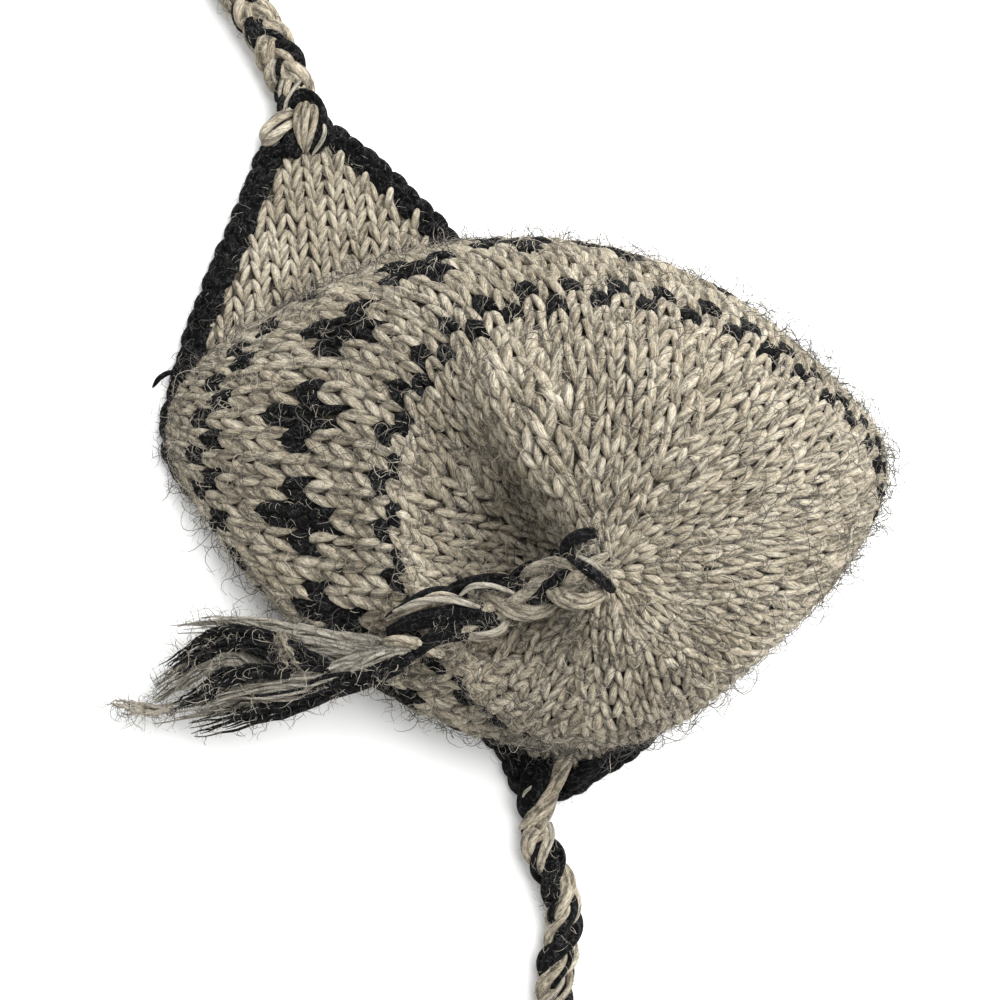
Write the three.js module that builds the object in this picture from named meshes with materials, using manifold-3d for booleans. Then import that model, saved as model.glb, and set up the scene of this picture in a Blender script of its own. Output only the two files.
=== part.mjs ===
// A knitted hat with ear flaps, braided ties and a crown tassel, lying on its rim and slumped to one side.
// Millimetres, +Z up, +X to the east. The hat is drawn round its own middle and then moved so that the origin
// is the middle of its base. Directions are degrees from east, counted towards north. Heights along the
// fabric are knitted rows, from the rim to the apex.
import * as THREE from 'three';
import { mergeVertices } from 'three/addons/utils/BufferGeometryUtils.js';
import Module from 'manifold-3d';

const wasm = await Module();
wasm.setup();

// Driving dimensions
const HAT_LENGTH = 200; // west to east, the length that the table's west and east shares follow
const HAT_WIDTH = 140; // south to north
const CROWN_RISE = 66; // from the rim to the highest knitting
const WALL = 5; // thickness of the thick-yarn knitting
const FLAP_THICKNESS = 4.8;
const FLAP_EDGE_SOFTNESS = 0.9;
const EDGING_WIDTH = 6.2;
const EDGING_HEIGHT = 4.8;
const CLEARANCE = 0.4; // between neighbouring pieces
const WALL_ROWS = 13; // rows of the upright wall, and the crown's decreasing rows above them
const CROWN_ROWS = 15;
const APEX_ROW = WALL_ROWS + CROWN_ROWS;
const RIM_HEIGHT = Math.max(EDGING_HEIGHT, FLAP_THICKNESS) + CLEARANCE;
const TIE_A_DIAMETER = 12;
const TIE_B_DIAMETER = 10.5;
const CROWN_BRAID_DIAMETER = 9.8;
const KNOT_DIAMETER = 15; // knot at the end of a tie
const TUFT_LENGTH = 22; // loose yarn below that knot
const LOCK_DIAMETER = 7.5; // one lock of the crown tassel

// Faces
const SHELL_SIDES = 52;
const OUTER_ROW_STEPS = 26;
const INNER_ROW_STEPS = 16;
const ROPE_SIDES = 8;
const CORD_SIDES = 10;
const LOCK_SIDES = 7;

const WOOL = { color: 0xb5a78d, roughness: 0.95, metalness: 0 };
const BLACK_WOOL = { color: 0x1b1c1f, roughness: 0.95, metalness: 0 };
const MIXED_WOOL = { color: 0x7c7364, roughness: 0.95, metalness: 0 };

// Rounds of the knitting. west to north are where a round ends, as shares of HAT_LENGTH and HAT_WIDTH.
// riseWest to riseNorth are its heights above the rim there, as shares of CROWN_RISE. turn swings its long
// axis, narrowing pulls in its east end, and twist shifts its stitches round it, in degrees.
const ROUND_COLUMNS = ['row', 'west', 'east', 'south', 'north',
  'riseWest', 'riseEast', 'riseSouth', 'riseNorth', 'turn', 'narrowing', 'twist'];
const ROUNDS = table(ROUND_COLUMNS, [
  [0, -0.485, 0.350, -0.164, 0.450, 0, 0, 0, 0, 0, 0, 0],
  [3, -0.425, 0.450, -0.329, 0.508, 0.117, 0.041, 0.041, 0.102, 2, 0.08, -3],
  [5.5, -0.355, 0.505, -0.414, 0.523, 0.238, 0.177, 0.086, 0.253, 4, 0.18, -5],
  [8, -0.265, 0.530, -0.457, 0.509, 0.359, 0.344, 0.177, 0.420, 8, 0.24, -6],
  [12, -0.150, 0.525, -0.443, 0.407, 0.526, 0.571, 0.329, 0.692, 13, 0.28, -6],
  [14, -0.120, 0.495, -0.450, 0.343, 0.556, 0.723, 0.511, 0.844, 13, 0.26, -6],
  [17, -0.060, 0.425, -0.421, 0.229, 0.571, 0.859, 0.708, 0.950, 10, 0.20, -6],
  [21, 0.015, 0.310, -0.314, 0.079, 0.617, 0.920, 0.829, 0.965, 8, 0.10, -6],
  [25, 0.080, 0.205, -0.214, -0.050, 0.768, 0.905, 0.859, 0.920, 8, 0, -6],
  [28, 0.135, 0.135, -0.136, -0.136, 0.859, 0.859, 0.859, 0.859, 8, 0, -6],
]);

// Dents and folds. Each pushes the knitting round its direction and row. before and after are its spreads on
// the two sides of its direction, in degrees, and rows its spread up and down. The push is in shares of
// HAT_LENGTH, HAT_WIDTH and CROWN_RISE.
const DENTS = table(['direction', 'row', 'before', 'after', 'rows', 'pushX', 'pushY', 'pushZ'], [
  [168, 21.5, 27, 48, 5.6, 0, 0, -0.364],
  [138, 18.5, 15, 13, 5.5, -0.015, -0.021, 0.076],
  [-45, 9, 26, 26, 7, -0.020, 0.043, 0],
  [45, 9, 26, 26, 7, -0.015, -0.021, 0],
]);
const APEX_FADE_ROWS = 2.5; // dents die out over these last rows, where all columns meet

// Ear flaps. Each is knitted on between two directions on the rim and lies flat, with its tip a share of
// HAT_LENGTH and HAT_WIDTH from the hat's middle. first and second are its two sides: how far out each is at
// a share of the way to the tip, as a share of half its base.
const FLAP_COLUMNS = ['along', 'across'];
const FLAPS = {
  a: {
    from: 174,
    to: 88,
    tipX: -0.290,
    tipY: 0.771,
    first: table(FLAP_COLUMNS, [[0.22, 0.86], [0.44, 0.68], [0.68, 0.44], [0.92, 0.21]]),
    second: table(FLAP_COLUMNS, [[0.22, 0.93], [0.46, 0.70], [0.69, 0.46], [0.91, 0.18]]),
  },
  b: {
    from: 245,
    to: 326,
    tipX: 0.065,
    tipY: -0.600,
    first: table(FLAP_COLUMNS, [[0.20, 0.87], [0.50, 0.51], [0.80, 0.19]]),
    second: table(FLAP_COLUMNS, [[0.28, 0.96], [0.58, 0.86], [0.82, 0.63], [0.94, 0.30]]),
  },
};

// Chosen routes of the cords, in millimetres in the drawing frame.
const TIE_A_ROUTE = [
  [-58.4, 116.0, 6.4], [-60.3, 120.5, 6.4], [-62.4, 125.4, 6.4], [-65.3, 130.6, 6.4], [-69.2, 136.4, 6.4],
  [-72.8, 142.2, 6.4], [-75.9, 148.0, 6.4], [-78.4, 154.0, 6.4], [-80.3, 160.0, 6.4], [-81.8, 166.0, 6.4],
  [-82.9, 172.0, 6.4], [-83.7, 178.0, 6.4], [-84.3, 184.0, 6.4],
];
const TIE_B_ROUTE = [
  [10.4, -94.0, 5.6], [11.4, -99.0, 5.6], [13.8, -105.4, 5.6], [16.6, -111.4, 5.6], [18.3, -117.2, 5.6],
  [18.3, -122.6, 5.6], [17.2, -128.0, 5.6], [16.4, -133.4, 5.6], [16.0, -139.8, 5.6], [15.4, -146.4, 5.6],
  [15.4, -153.0, 5.6], [16.4, -159.2, 5.6],
];
const CROWN_BRAID_ROUTE = [
  [28.0, -15.0, 69.8], [24.0, -16.4, 69.4], [20.2, -18.4, 67.4], [16.4, -20.6, 63.6], [12.8, -22.6, 59.0],
  [9.2, -24.4, 54.4], [5.0, -26.4, 50.0], [0.4, -28.4, 46.8], [-4.6, -30.4, 45.3], [-9.6, -32.6, 45.0],
  [-14.2, -34.6, 45.2], [-18.0, -36.2, 45.0],
];
const TASSEL_HEAD = [-23.4, -38.0, 44.6];

// Locks of the crown tassel: where each ends from the head, how far its middle bows to the north, and its
// thickness as a share of LOCK_DIAMETER. Lengths are millimetres in the drawing frame.
const LOCKS = table(['tipX', 'tipY', 'tipZ', 'bow', 'thickness'], [
  [-93.0, -35.5, 17, 3.5, 0.9],
  [-95.5, -48.0, 15, 6, 1.1],
  [-99.0, -53.5, 12, 1.5, 1.0],
  [-91.0, -56.5, 15, -0.5, 0.8],
  [-103.0, -60.0, 10, -1, 1.0],
  [-95.0, -62.5, 11, -3, 1.0],
  [-87.0, -65.0, 12, -4.5, 1.0],
]);

function table(columns, rows) {
  return rows.map((row) => Object.fromEntries(columns.map((name, k) => [name, row[k]])));
}

// A smooth curve through one column of a table, read at x.
function columnAt(rows, key, column, x) {
  const last = rows.length - 2;
  let i = 0;
  while (i < last && x > rows[i + 1][key]) i += 1;
  const slopeBetween = (k) => (rows[k + 1][column] - rows[k][column]) / (rows[k + 1][key] - rows[k][key]);
  const slopeAt = (k) => {
    if (k === 0) return slopeBetween(0);
    if (k === rows.length - 1) return slopeBetween(k - 1);
    const before = rows[k][key] - rows[k - 1][key];
    const after = rows[k + 1][key] - rows[k][key];
    return (slopeBetween(k - 1) * after + slopeBetween(k) * before) / (before + after);
  };
  const span = rows[i + 1][key] - rows[i][key];
  const t = (x - rows[i][key]) / span;
  const a = 2 * t ** 3 - 3 * t ** 2 + 1;
  const b = t ** 3 - 2 * t ** 2 + t;
  const c = -2 * t ** 3 + 3 * t ** 2;
  const d = t ** 3 - t ** 2;
  return a * rows[i][column] + b * span * slopeAt(i) + c * rows[i + 1][column] + d * span * slopeAt(i + 1);
}

function degreesApart(a, b) {
  return THREE.MathUtils.euclideanModulo(a - b + 180, 360) - 180;
}

// A point on the outside of the knitting.
function fabricPoint(direction, row) {
  const round = Object.fromEntries(ROUND_COLUMNS.slice(1).map((name) => [name, columnAt(ROUNDS, 'row', name, row)]));
  const angle = THREE.MathUtils.degToRad(direction - round.turn + round.twist);
  const along = Math.cos(angle);
  const across = Math.sin(angle) * (1 - round.narrowing * along);
  const turn = THREE.MathUtils.degToRad(round.turn);
  const halfLength = (HAT_LENGTH * (round.east - round.west)) / 2;
  const halfWidth = (HAT_WIDTH * (round.north - round.south)) / 2;
  const mean = (round.riseWest + round.riseEast + round.riseSouth + round.riseNorth) / 4;
  const rise = mean + ((round.riseEast - round.riseWest) / 2) * along
    + ((round.riseNorth - round.riseSouth) / 2) * Math.sin(angle)
    + ((round.riseWest + round.riseEast - round.riseSouth - round.riseNorth) / 4) * Math.cos(2 * angle);
  const point = new THREE.Vector3(
    (HAT_LENGTH * (round.east + round.west)) / 2
      + halfLength * along * Math.cos(turn) - halfWidth * across * Math.sin(turn),
    (HAT_WIDTH * (round.north + round.south)) / 2
      + halfLength * along * Math.sin(turn) + halfWidth * across * Math.cos(turn),
    RIM_HEIGHT + CROWN_RISE * rise,
  );
  for (const dent of DENTS) {
    const turnFrom = degreesApart(direction, dent.direction);
    const spread = turnFrom < 0 ? dent.before : dent.after;
    const near = Math.exp(-((turnFrom / spread) ** 2) - ((row - dent.row) / dent.rows) ** 2);
    const share = near * THREE.MathUtils.clamp((APEX_ROW - row) / APEX_FADE_ROWS, 0, 1);
    point.x += share * dent.pushX * HAT_LENGTH;
    point.y += share * dent.pushY * HAT_WIDTH;
    point.z += share * dent.pushZ * CROWN_RISE;
  }
  return point;
}

// The direction out of the fabric at a point on it.
function fabricNormal(direction, row) {
  const upperRow = Math.min(row + 0.4, APEX_ROW - 0.3);
  const lowerRow = Math.max(Math.min(row, APEX_ROW - 0.7) - 0.4, 0);
  const round = fabricPoint(direction + 3, Math.min(row, APEX_ROW - 0.5))
    .sub(fabricPoint(direction - 3, Math.min(row, APEX_ROW - 0.5)));
  const up = fabricPoint(direction, upperRow).sub(fabricPoint(direction, lowerRow));
  return round.cross(up).normalize();
}

// Level direction from the rim towards the inside of the hat.
function inwardAtRim(direction) {
  const round = fabricPoint(direction + 2, 0).sub(fabricPoint(direction - 2, 0));
  return new THREE.Vector3(-round.y, round.x, 0).normalize();
}

// A point on the inside of the knitting, a wall's thickness in from the outside.
function liningPoint(direction, row) {
  const level = THREE.MathUtils.smoothstep(row, 0, 2);
  const inward = inwardAtRim(direction).lerp(fabricNormal(direction, row).negate(), level).normalize();
  const point = fabricPoint(direction, row).addScaledVector(inward, WALL);
  point.z = Math.max(point.z, RIM_HEIGHT);
  return point;
}

// The middle of the wall's lower edge.
function rimMiddle(direction, height) {
  const point = fabricPoint(direction, 0).addScaledVector(inwardAtRim(direction), WALL / 2);
  point.z = height;
  return point;
}

function closedGeometry(points, triangles) {
  const geometry = new THREE.BufferGeometry();
  geometry.setAttribute('position', new THREE.Float32BufferAttribute(points.flatMap((p) => p.toArray()), 3));
  geometry.setIndex(triangles.flat());
  return geometry;
}

// Joins rings of points, all with as many points, into bands of triangles.
function ringBands(rings, sides) {
  const triangles = [];
  for (let r = 0; r < rings - 1; r += 1) {
    for (let s = 0; s < sides; s += 1) {
      const a = r * sides + s;
      const b = r * sides + ((s + 1) % sides);
      triangles.push([a, b, b + sides], [a, b + sides, a + sides]);
    }
  }
  return triangles;
}

// The hollow knitted body: rings up the outside to the apex, and down the inside to the rim again.
function crownShell() {
  const innerApex = fabricPoint(0, APEX_ROW).add(new THREE.Vector3(0, 0, -WALL));
  const points = [];
  const ring = (row, place) => {
    for (let s = 0; s < SHELL_SIDES; s += 1) points.push(place((360 * s) / SHELL_SIDES, row));
  };
  for (let k = INNER_ROW_STEPS - 1; k >= 0; k -= 1) ring(((APEX_ROW - 1.5) * k) / (INNER_ROW_STEPS - 1), liningPoint);
  for (let k = 0; k < OUTER_ROW_STEPS; k += 1) ring((APEX_ROW * k) / OUTER_ROW_STEPS, fabricPoint);
  const rings = INNER_ROW_STEPS + OUTER_ROW_STEPS;
  const triangles = ringBands(rings, SHELL_SIDES);
  const outerApexIndex = points.push(fabricPoint(0, APEX_ROW)) - 1;
  const innerApexIndex = points.push(innerApex) - 1;
  const lastRing = (rings - 1) * SHELL_SIDES;
  for (let s = 0; s < SHELL_SIDES; s += 1) {
    const next = (s + 1) % SHELL_SIDES;
    triangles.push([lastRing + s, lastRing + next, outerApexIndex]);
    triangles.push([next, s, innerApexIndex]);
  }
  return closedGeometry(points, triangles);
}

// A point on a flap, at a share of the way from its base to its tip and of half its base to a side.
function flapPoint(flap, along, across) {
  const first = rimMiddle(flap.from, 0);
  const second = rimMiddle(flap.to, 0);
  const base = first.clone().add(second).multiplyScalar(0.5);
  const halfBase = second.clone().sub(first).multiplyScalar(0.5);
  const tip = new THREE.Vector3(flap.tipX * HAT_LENGTH, flap.tipY * HAT_WIDTH, 0);
  return base.clone().addScaledVector(tip.sub(base), along).addScaledVector(halfBase, across);
}

// The middle line of the edging on one side of a flap, from near the rim to just short of the tip's middle.
function flapSidePoints(flap, side) {
  const rows = side < 0 ? flap.first : flap.second;
  const points = rows.map((row) => flapPoint(flap, row.along, side * row.across));
  const towardsSide = flapPoint(flap, 1, side).sub(flapPoint(flap, 1, 0)).normalize();
  for (const fromMiddle of [EDGING_WIDTH / 2, 0]) {
    points.push(flapPoint(flap, 1, 0).addScaledVector(towardsSide, fromMiddle + CLEARANCE / 2));
  }
  return points;
}

// The middle line of an edging: down one side of flap a from its tip, along the rim, and out to flap b's tip.
function edgingCurve(side, rimFrom, rimTo) {
  const rimSteps = 12;
  const points = flapSidePoints(FLAPS.a, side).reverse();
  for (let k = 0; k <= rimSteps; k += 1) {
    points.push(rimMiddle(rimFrom + ((rimTo - rimFrom) * k) / rimSteps, 0));
  }
  points.push(...flapSidePoints(FLAPS.b, side));
  points.forEach((p) => { p.z = EDGING_HEIGHT / 2; });
  return new THREE.CatmullRomCurve3(points, false, 'centripetal');
}

function ovalShape(height, width, sides) {
  const shape = new THREE.Shape();
  for (let s = 0; s < sides; s += 1) {
    const angle = (2 * Math.PI * (s + 0.5)) / sides;
    const x = (height / 2) * Math.cos(angle);
    const y = (width / 2) * Math.sin(angle);
    if (s === 0) shape.moveTo(x, y);
    else shape.lineTo(x, y);
  }
  shape.closePath();
  return shape;
}

// A tube along a curve. On a level curve its section's height stands upright.
function tube(curve, height, width, sides, steps) {
  return new THREE.ExtrudeGeometry(ovalShape(height, width, sides), {
    steps,
    extrudePath: curve,
    bevelEnabled: false,
  });
}

function cordTube(route, diameter, steps) {
  const curve = new THREE.CatmullRomCurve3(route.map((p) => new THREE.Vector3(...p)), false, 'centripetal');
  return tube(curve, diameter, diameter, CORD_SIDES, steps);
}

// One side of a flap's own outline, inside its edging.
function insetSide(flap, side) {
  const curve = new THREE.CatmullRomCurve3(
    [flapPoint(flap, 0.02, side), ...flapSidePoints(flap, side)], false, 'centripetal');
  const towardsTip = flapPoint(flap, 1, 0).sub(flapPoint(flap, 0, 0));
  const acrossBase = flapPoint(flap, 0, 1).sub(flapPoint(flap, 0, 0));
  const inwardSign = -side * Math.sign(acrossBase.cross(towardsTip).z);
  const steps = 14;
  const points = [];
  for (let k = 1; k < steps; k += 1) {
    const tangent = curve.getTangentAt(k / steps);
    const inward = new THREE.Vector3(tangent.y, -tangent.x, 0).multiplyScalar(inwardSign);
    points.push(curve.getPointAt(k / steps).addScaledVector(inward, EDGING_WIDTH / 2 + CLEARANCE));
  }
  return points;
}

// A flap: flat, with soft upper and lower edges, its base following the rim under the wall.
function flapSlab(flap) {
  const baseSteps = 7;
  const base = [];
  for (let k = 0; k <= baseSteps; k += 1) {
    const share = THREE.MathUtils.lerp(0.15, 0.62, k / baseSteps);
    base.push(rimMiddle(THREE.MathUtils.lerp(flap.to, flap.from, share), 0));
  }
  const outline = [...insetSide(flap, -1), ...insetSide(flap, 1).reverse(), ...base];
  const shape = new THREE.Shape(outline.map((p) => new THREE.Vector2(p.x, p.y)));
  const geometry = new THREE.ExtrudeGeometry(shape, {
    depth: FLAP_THICKNESS - 2 * FLAP_EDGE_SOFTNESS,
    bevelEnabled: true,
    bevelThickness: FLAP_EDGE_SOFTNESS,
    bevelSize: FLAP_EDGE_SOFTNESS,
    bevelOffset: -FLAP_EDGE_SOFTNESS,
    bevelSegments: 1,
  });
  return geometry.translate(0, 0, FLAP_EDGE_SOFTNESS);
}

// A round-ended tube of changing thickness along a curve, for locks and knots.
function taperedTube(curve, radiusAt, sides, steps) {
  const points = [];
  const frames = curve.computeFrenetFrames(steps, false);
  for (let k = 0; k <= steps; k += 1) {
    const centre = curve.getPointAt(k / steps);
    for (let s = 0; s < sides; s += 1) {
      const angle = (2 * Math.PI * s) / sides;
      points.push(centre.clone()
        .addScaledVector(frames.normals[k], radiusAt(k / steps) * Math.cos(angle))
        .addScaledVector(frames.binormals[k], radiusAt(k / steps) * Math.sin(angle)));
    }
  }
  const triangles = ringBands(steps + 1, sides);
  const start = points.push(curve.getPointAt(0)) - 1;
  const end = points.push(curve.getPointAt(1)) - 1;
  for (let s = 0; s < sides; s += 1) {
    const next = (s + 1) % sides;
    triangles.push([next, s, start]);
    triangles.push([steps * sides + s, steps * sides + next, end]);
  }
  return closedGeometry(points, triangles);
}

function toSolid(geometry) {
  const bare = geometry.clone();
  bare.deleteAttribute('normal');
  bare.deleteAttribute('uv');
  const merged = mergeVertices(bare);
  return new wasm.Manifold(new wasm.Mesh({
    numProp: 3,
    vertProperties: new Float32Array(merged.attributes.position.array),
    triVerts: new Uint32Array(merged.index.array),
  }));
}

function fused(geometries) {
  const solid = geometries.map(toSolid).reduce((all, next) => all.add(next));
  const mesh = solid.getMesh();
  const geometry = new THREE.BufferGeometry();
  geometry.setAttribute('position', new THREE.Float32BufferAttribute(mesh.vertProperties, 3));
  geometry.setIndex(Array.from(mesh.triVerts));
  return geometry;
}

// A ball, squashed or stretched to a size along x, y and z.
function knot(centre, size) {
  return new THREE.SphereGeometry(0.5, 12, 8).scale(...size).translate(...centre);
}

function lock(from, to, bow, diameter) {
  const start = new THREE.Vector3(...from);
  const end = new THREE.Vector3(...to);
  const at = (share, lift) => start.clone().lerp(end, share).add(new THREE.Vector3(0, bow * lift, 2.5 * lift));
  const curve = new THREE.CatmullRomCurve3([start, at(0.35, 0.8), at(0.7, 1), end]);
  const radiusAt = (share) => (diameter / 2) * (0.7 + 0.6 * share - 0.85 * share ** 3);
  return taperedTube(curve, radiusAt, LOCK_SIDES, 7);
}

function crownTassel() {
  const head = knot(TASSEL_HEAD, [9.5, 10.5, 9.5]);
  const locks = LOCKS.map((row) => lock(TASSEL_HEAD, [row.tipX, row.tipY, row.tipZ], row.bow,
    LOCK_DIAMETER * row.thickness));
  return fused([head, ...locks]);
}

// The knot that ends a tie, with its tuft of loose yarn spread on the surface.
function tieEnd(route, diameter) {
  const last = new THREE.Vector3(...route[route.length - 1]);
  const before = new THREE.Vector3(...route[route.length - 2]);
  const onward = last.clone().sub(before).setZ(0).normalize();
  const aside = new THREE.Vector3(-onward.y, onward.x, 0);
  const centre = last.clone().addScaledVector(onward, KNOT_DIAMETER / 2 + CLEARANCE).setZ(diameter / 2 + CLEARANCE);
  const pieces = [knot(centre.toArray(), [KNOT_DIAMETER, KNOT_DIAMETER, diameter])];
  for (const spread of [-1, -0.35, 0.3, 1]) {
    const tip = centre.clone().addScaledVector(onward, KNOT_DIAMETER / 2 + TUFT_LENGTH - 3 * spread ** 2)
      .addScaledVector(aside, 6 * spread).setZ(2.4);
    pieces.push(lock(centre.toArray(), tip.toArray(), 0, 4.4));
  }
  return fused(pieces);
}

// The yarns looped through a flap's tip, as three short lobes in line with the start of the tie.
function tieLoops(flap, route, diameter) {
  const tip = flapPoint(flap, 1, 0);
  const start = new THREE.Vector3(...route[0]);
  const onward = new THREE.Vector3(...route[1]).sub(start).setZ(0).normalize();
  const aside = new THREE.Vector3(-onward.y, onward.x, 0);
  const reach = start.clone().sub(tip).setZ(0).length();
  const length = reach - EDGING_WIDTH / 2 - 3 * CLEARANCE;
  const pieces = [-0.28, 0, 0.28].map((share) => {
    const curve = new THREE.LineCurve3(
      start.clone().addScaledVector(onward, -CLEARANCE - length).addScaledVector(aside, share * diameter),
      start.clone().addScaledVector(onward, -CLEARANCE).addScaledVector(aside, share * diameter),
    );
    const radiusAt = (t) => (diameter / 2) * (0.5 + 0.3 * Math.sin(Math.PI * t));
    return taperedTube(curve, radiusAt, CORD_SIDES, 6);
  });
  return fused(pieces);
}

function piece(name, geometry, look) {
  const mesh = new THREE.Mesh(geometry, new THREE.MeshStandardMaterial(look));
  mesh.name = name;
  return mesh;
}

const westCurve = edgingCurve(-1, FLAPS.a.from + 3, FLAPS.b.from - 3);
const eastCurve = edgingCurve(1, FLAPS.a.to - 3, FLAPS.b.to - 360 + 3);

// The hat itself, and the cords with what is on them.
const bodyPieces = [
  piece('crown_shell', crownShell(), WOOL),
  piece('ear_flap_a', flapSlab(FLAPS.a), WOOL),
  piece('ear_flap_b', flapSlab(FLAPS.b), WOOL),
  piece('edging_west', tube(westCurve, EDGING_HEIGHT, EDGING_WIDTH, ROPE_SIDES, 60), BLACK_WOOL),
  piece('edging_east', tube(eastCurve, EDGING_HEIGHT, EDGING_WIDTH, ROPE_SIDES, 76), BLACK_WOOL),
];
const cordPieces = [
  piece('tie_a_loops', tieLoops(FLAPS.a, TIE_A_ROUTE, TIE_A_DIAMETER), MIXED_WOOL),
  piece('tie_b_loops', tieLoops(FLAPS.b, TIE_B_ROUTE, TIE_B_DIAMETER), MIXED_WOOL),
  piece('tie_a', cordTube(TIE_A_ROUTE, TIE_A_DIAMETER, 18), MIXED_WOOL),
  piece('tie_b', cordTube(TIE_B_ROUTE, TIE_B_DIAMETER, 18), MIXED_WOOL),
  piece('tie_a_end', tieEnd(TIE_A_ROUTE, TIE_A_DIAMETER), MIXED_WOOL),
  piece('tie_b_end', tieEnd(TIE_B_ROUTE, TIE_B_DIAMETER), MIXED_WOOL),
  piece('crown_braid', cordTube(CROWN_BRAID_ROUTE, CROWN_BRAID_DIAMETER, 18), MIXED_WOOL),
  piece('crown_tassel', crownTassel(), MIXED_WOOL),
];

// The origin is the middle of the hat's base, measured without the cords.
const extent = new THREE.Box3();
bodyPieces.forEach((mesh) => extent.expandByObject(mesh));
const middle = extent.getCenter(new THREE.Vector3());
const hat = new THREE.Group();
hat.add(...bodyPieces, ...cordPieces);
hat.position.set(-middle.x, -middle.y, -extent.min.z);

export default hat;
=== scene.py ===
# A knitted wool hat with ear flaps, braided ties and a crown tassel, lying slumped on a pale surface.
# Shapes are worked out in millimetres in the drawing frame, where the hat's middle is the origin, and are
# moved to the part's own frame in metres when a mesh is made. Directions are degrees from east, counted
# towards north. Heights along the fabric are knitted rows, from the rim to the apex.
import bpy
import numpy as np
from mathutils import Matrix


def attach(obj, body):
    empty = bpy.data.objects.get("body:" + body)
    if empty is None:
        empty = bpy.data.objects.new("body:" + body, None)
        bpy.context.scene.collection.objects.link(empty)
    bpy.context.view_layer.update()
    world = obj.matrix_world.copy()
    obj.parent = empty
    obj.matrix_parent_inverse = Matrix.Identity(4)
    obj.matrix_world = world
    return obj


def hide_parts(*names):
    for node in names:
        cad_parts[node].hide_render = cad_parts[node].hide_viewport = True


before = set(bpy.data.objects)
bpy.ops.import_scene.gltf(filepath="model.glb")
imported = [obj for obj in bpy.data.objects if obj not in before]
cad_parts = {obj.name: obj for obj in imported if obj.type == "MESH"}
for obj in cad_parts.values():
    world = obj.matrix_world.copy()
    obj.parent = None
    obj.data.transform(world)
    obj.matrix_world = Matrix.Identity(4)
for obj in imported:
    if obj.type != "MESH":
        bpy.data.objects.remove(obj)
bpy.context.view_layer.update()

MM = 0.001
DRAWING_SHIFT = np.array([-4.2294, -12.3909, 0.0])  # from the drawing frame to the part's own
UP = np.array([0.0, 0.0, 1.0])

# The camera looks straight down at the drawing frame's origin.
CAMERA_HEIGHT = 560
VIEW_WIDTH = 290

# The hat's driving dimensions, as in the part
HAT_LENGTH = 200
HAT_WIDTH = 140
CROWN_RISE = 66
WALL = 5
FLAP_THICKNESS = 4.8
EDGING_WIDTH = 6.2
EDGING_HEIGHT = 4.8
CLEARANCE = 0.4
RIM_HEIGHT = max(EDGING_HEIGHT, FLAP_THICKNESS) + CLEARANCE
WALL_ROWS = 13
APEX_ROW = 28
TIE_A_DIAMETER = 12
TIE_B_DIAMETER = 10.5
CROWN_BRAID_DIAMETER = 9.8
KNOT_DIAMETER = 15

# Rounds of the knitting: where each ends and how high it is there, as shares of the sizes above, with the
# turn of its long axis, the narrowing of its east end and the twist of its stitches.
ROUND_COLUMNS = ("row", "west", "east", "south", "north",
                 "rise_west", "rise_east", "rise_south", "rise_north", "turn", "narrowing", "twist")
ROUNDS = np.array([
    (0, -0.485, 0.350, -0.164, 0.450, 0, 0, 0, 0, 0, 0, 0),
    (3, -0.425, 0.450, -0.329, 0.508, 0.117, 0.041, 0.041, 0.102, 2, 0.08, -3),
    (5.5, -0.355, 0.505, -0.414, 0.523, 0.238, 0.177, 0.086, 0.253, 4, 0.18, -5),
    (8, -0.265, 0.530, -0.457, 0.509, 0.359, 0.344, 0.177, 0.420, 8, 0.24, -6),
    (12, -0.150, 0.525, -0.443, 0.407, 0.526, 0.571, 0.329, 0.692, 13, 0.28, -6),
    (14, -0.120, 0.495, -0.450, 0.343, 0.556, 0.723, 0.511, 0.844, 13, 0.26, -6),
    (17, -0.060, 0.425, -0.421, 0.229, 0.571, 0.859, 0.708, 0.950, 10, 0.20, -6),
    (21, 0.015, 0.310, -0.314, 0.079, 0.617, 0.920, 0.829, 0.965, 8, 0.10, -6),
    (25, 0.080, 0.205, -0.214, -0.050, 0.768, 0.905, 0.859, 0.920, 8, 0, -6),
    (28, 0.135, 0.135, -0.136, -0.136, 0.859, 0.859, 0.859, 0.859, 8, 0, -6),
])
# Dents and folds: direction, row, spread before and after in degrees, spread in rows, and the push.
DENTS = (
    (168, 21.5, 27, 48, 5.6, 0, 0, -0.364),
    (138, 18.5, 15, 13, 5.5, -0.015, -0.021, 0.076),
    (-45, 9, 26, 26, 7, -0.020, 0.043, 0),
    (45, 9, 26, 26, 7, -0.015, -0.021, 0),
)
APEX_FADE_ROWS = 2.5

# The ear flaps, with the sides as shares of the way to the tip and of half the base.
FLAPS = {
    "a": dict(start=174, end=88, tip=(-0.290, 0.771),
              first=((0.22, 0.86), (0.44, 0.68), (0.68, 0.44), (0.92, 0.21)),
              second=((0.22, 0.93), (0.46, 0.70), (0.69, 0.46), (0.91, 0.18))),
    "b": dict(start=245, end=326, tip=(0.065, -0.600),
              first=((0.20, 0.87), (0.50, 0.51), (0.80, 0.19)),
              second=((0.28, 0.96), (0.58, 0.86), (0.82, 0.63), (0.94, 0.30))),
}
EDGED_RIM = {-1: (177, 242), 1: (85, -31)}  # directions between the flaps, on the west and the east

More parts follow.
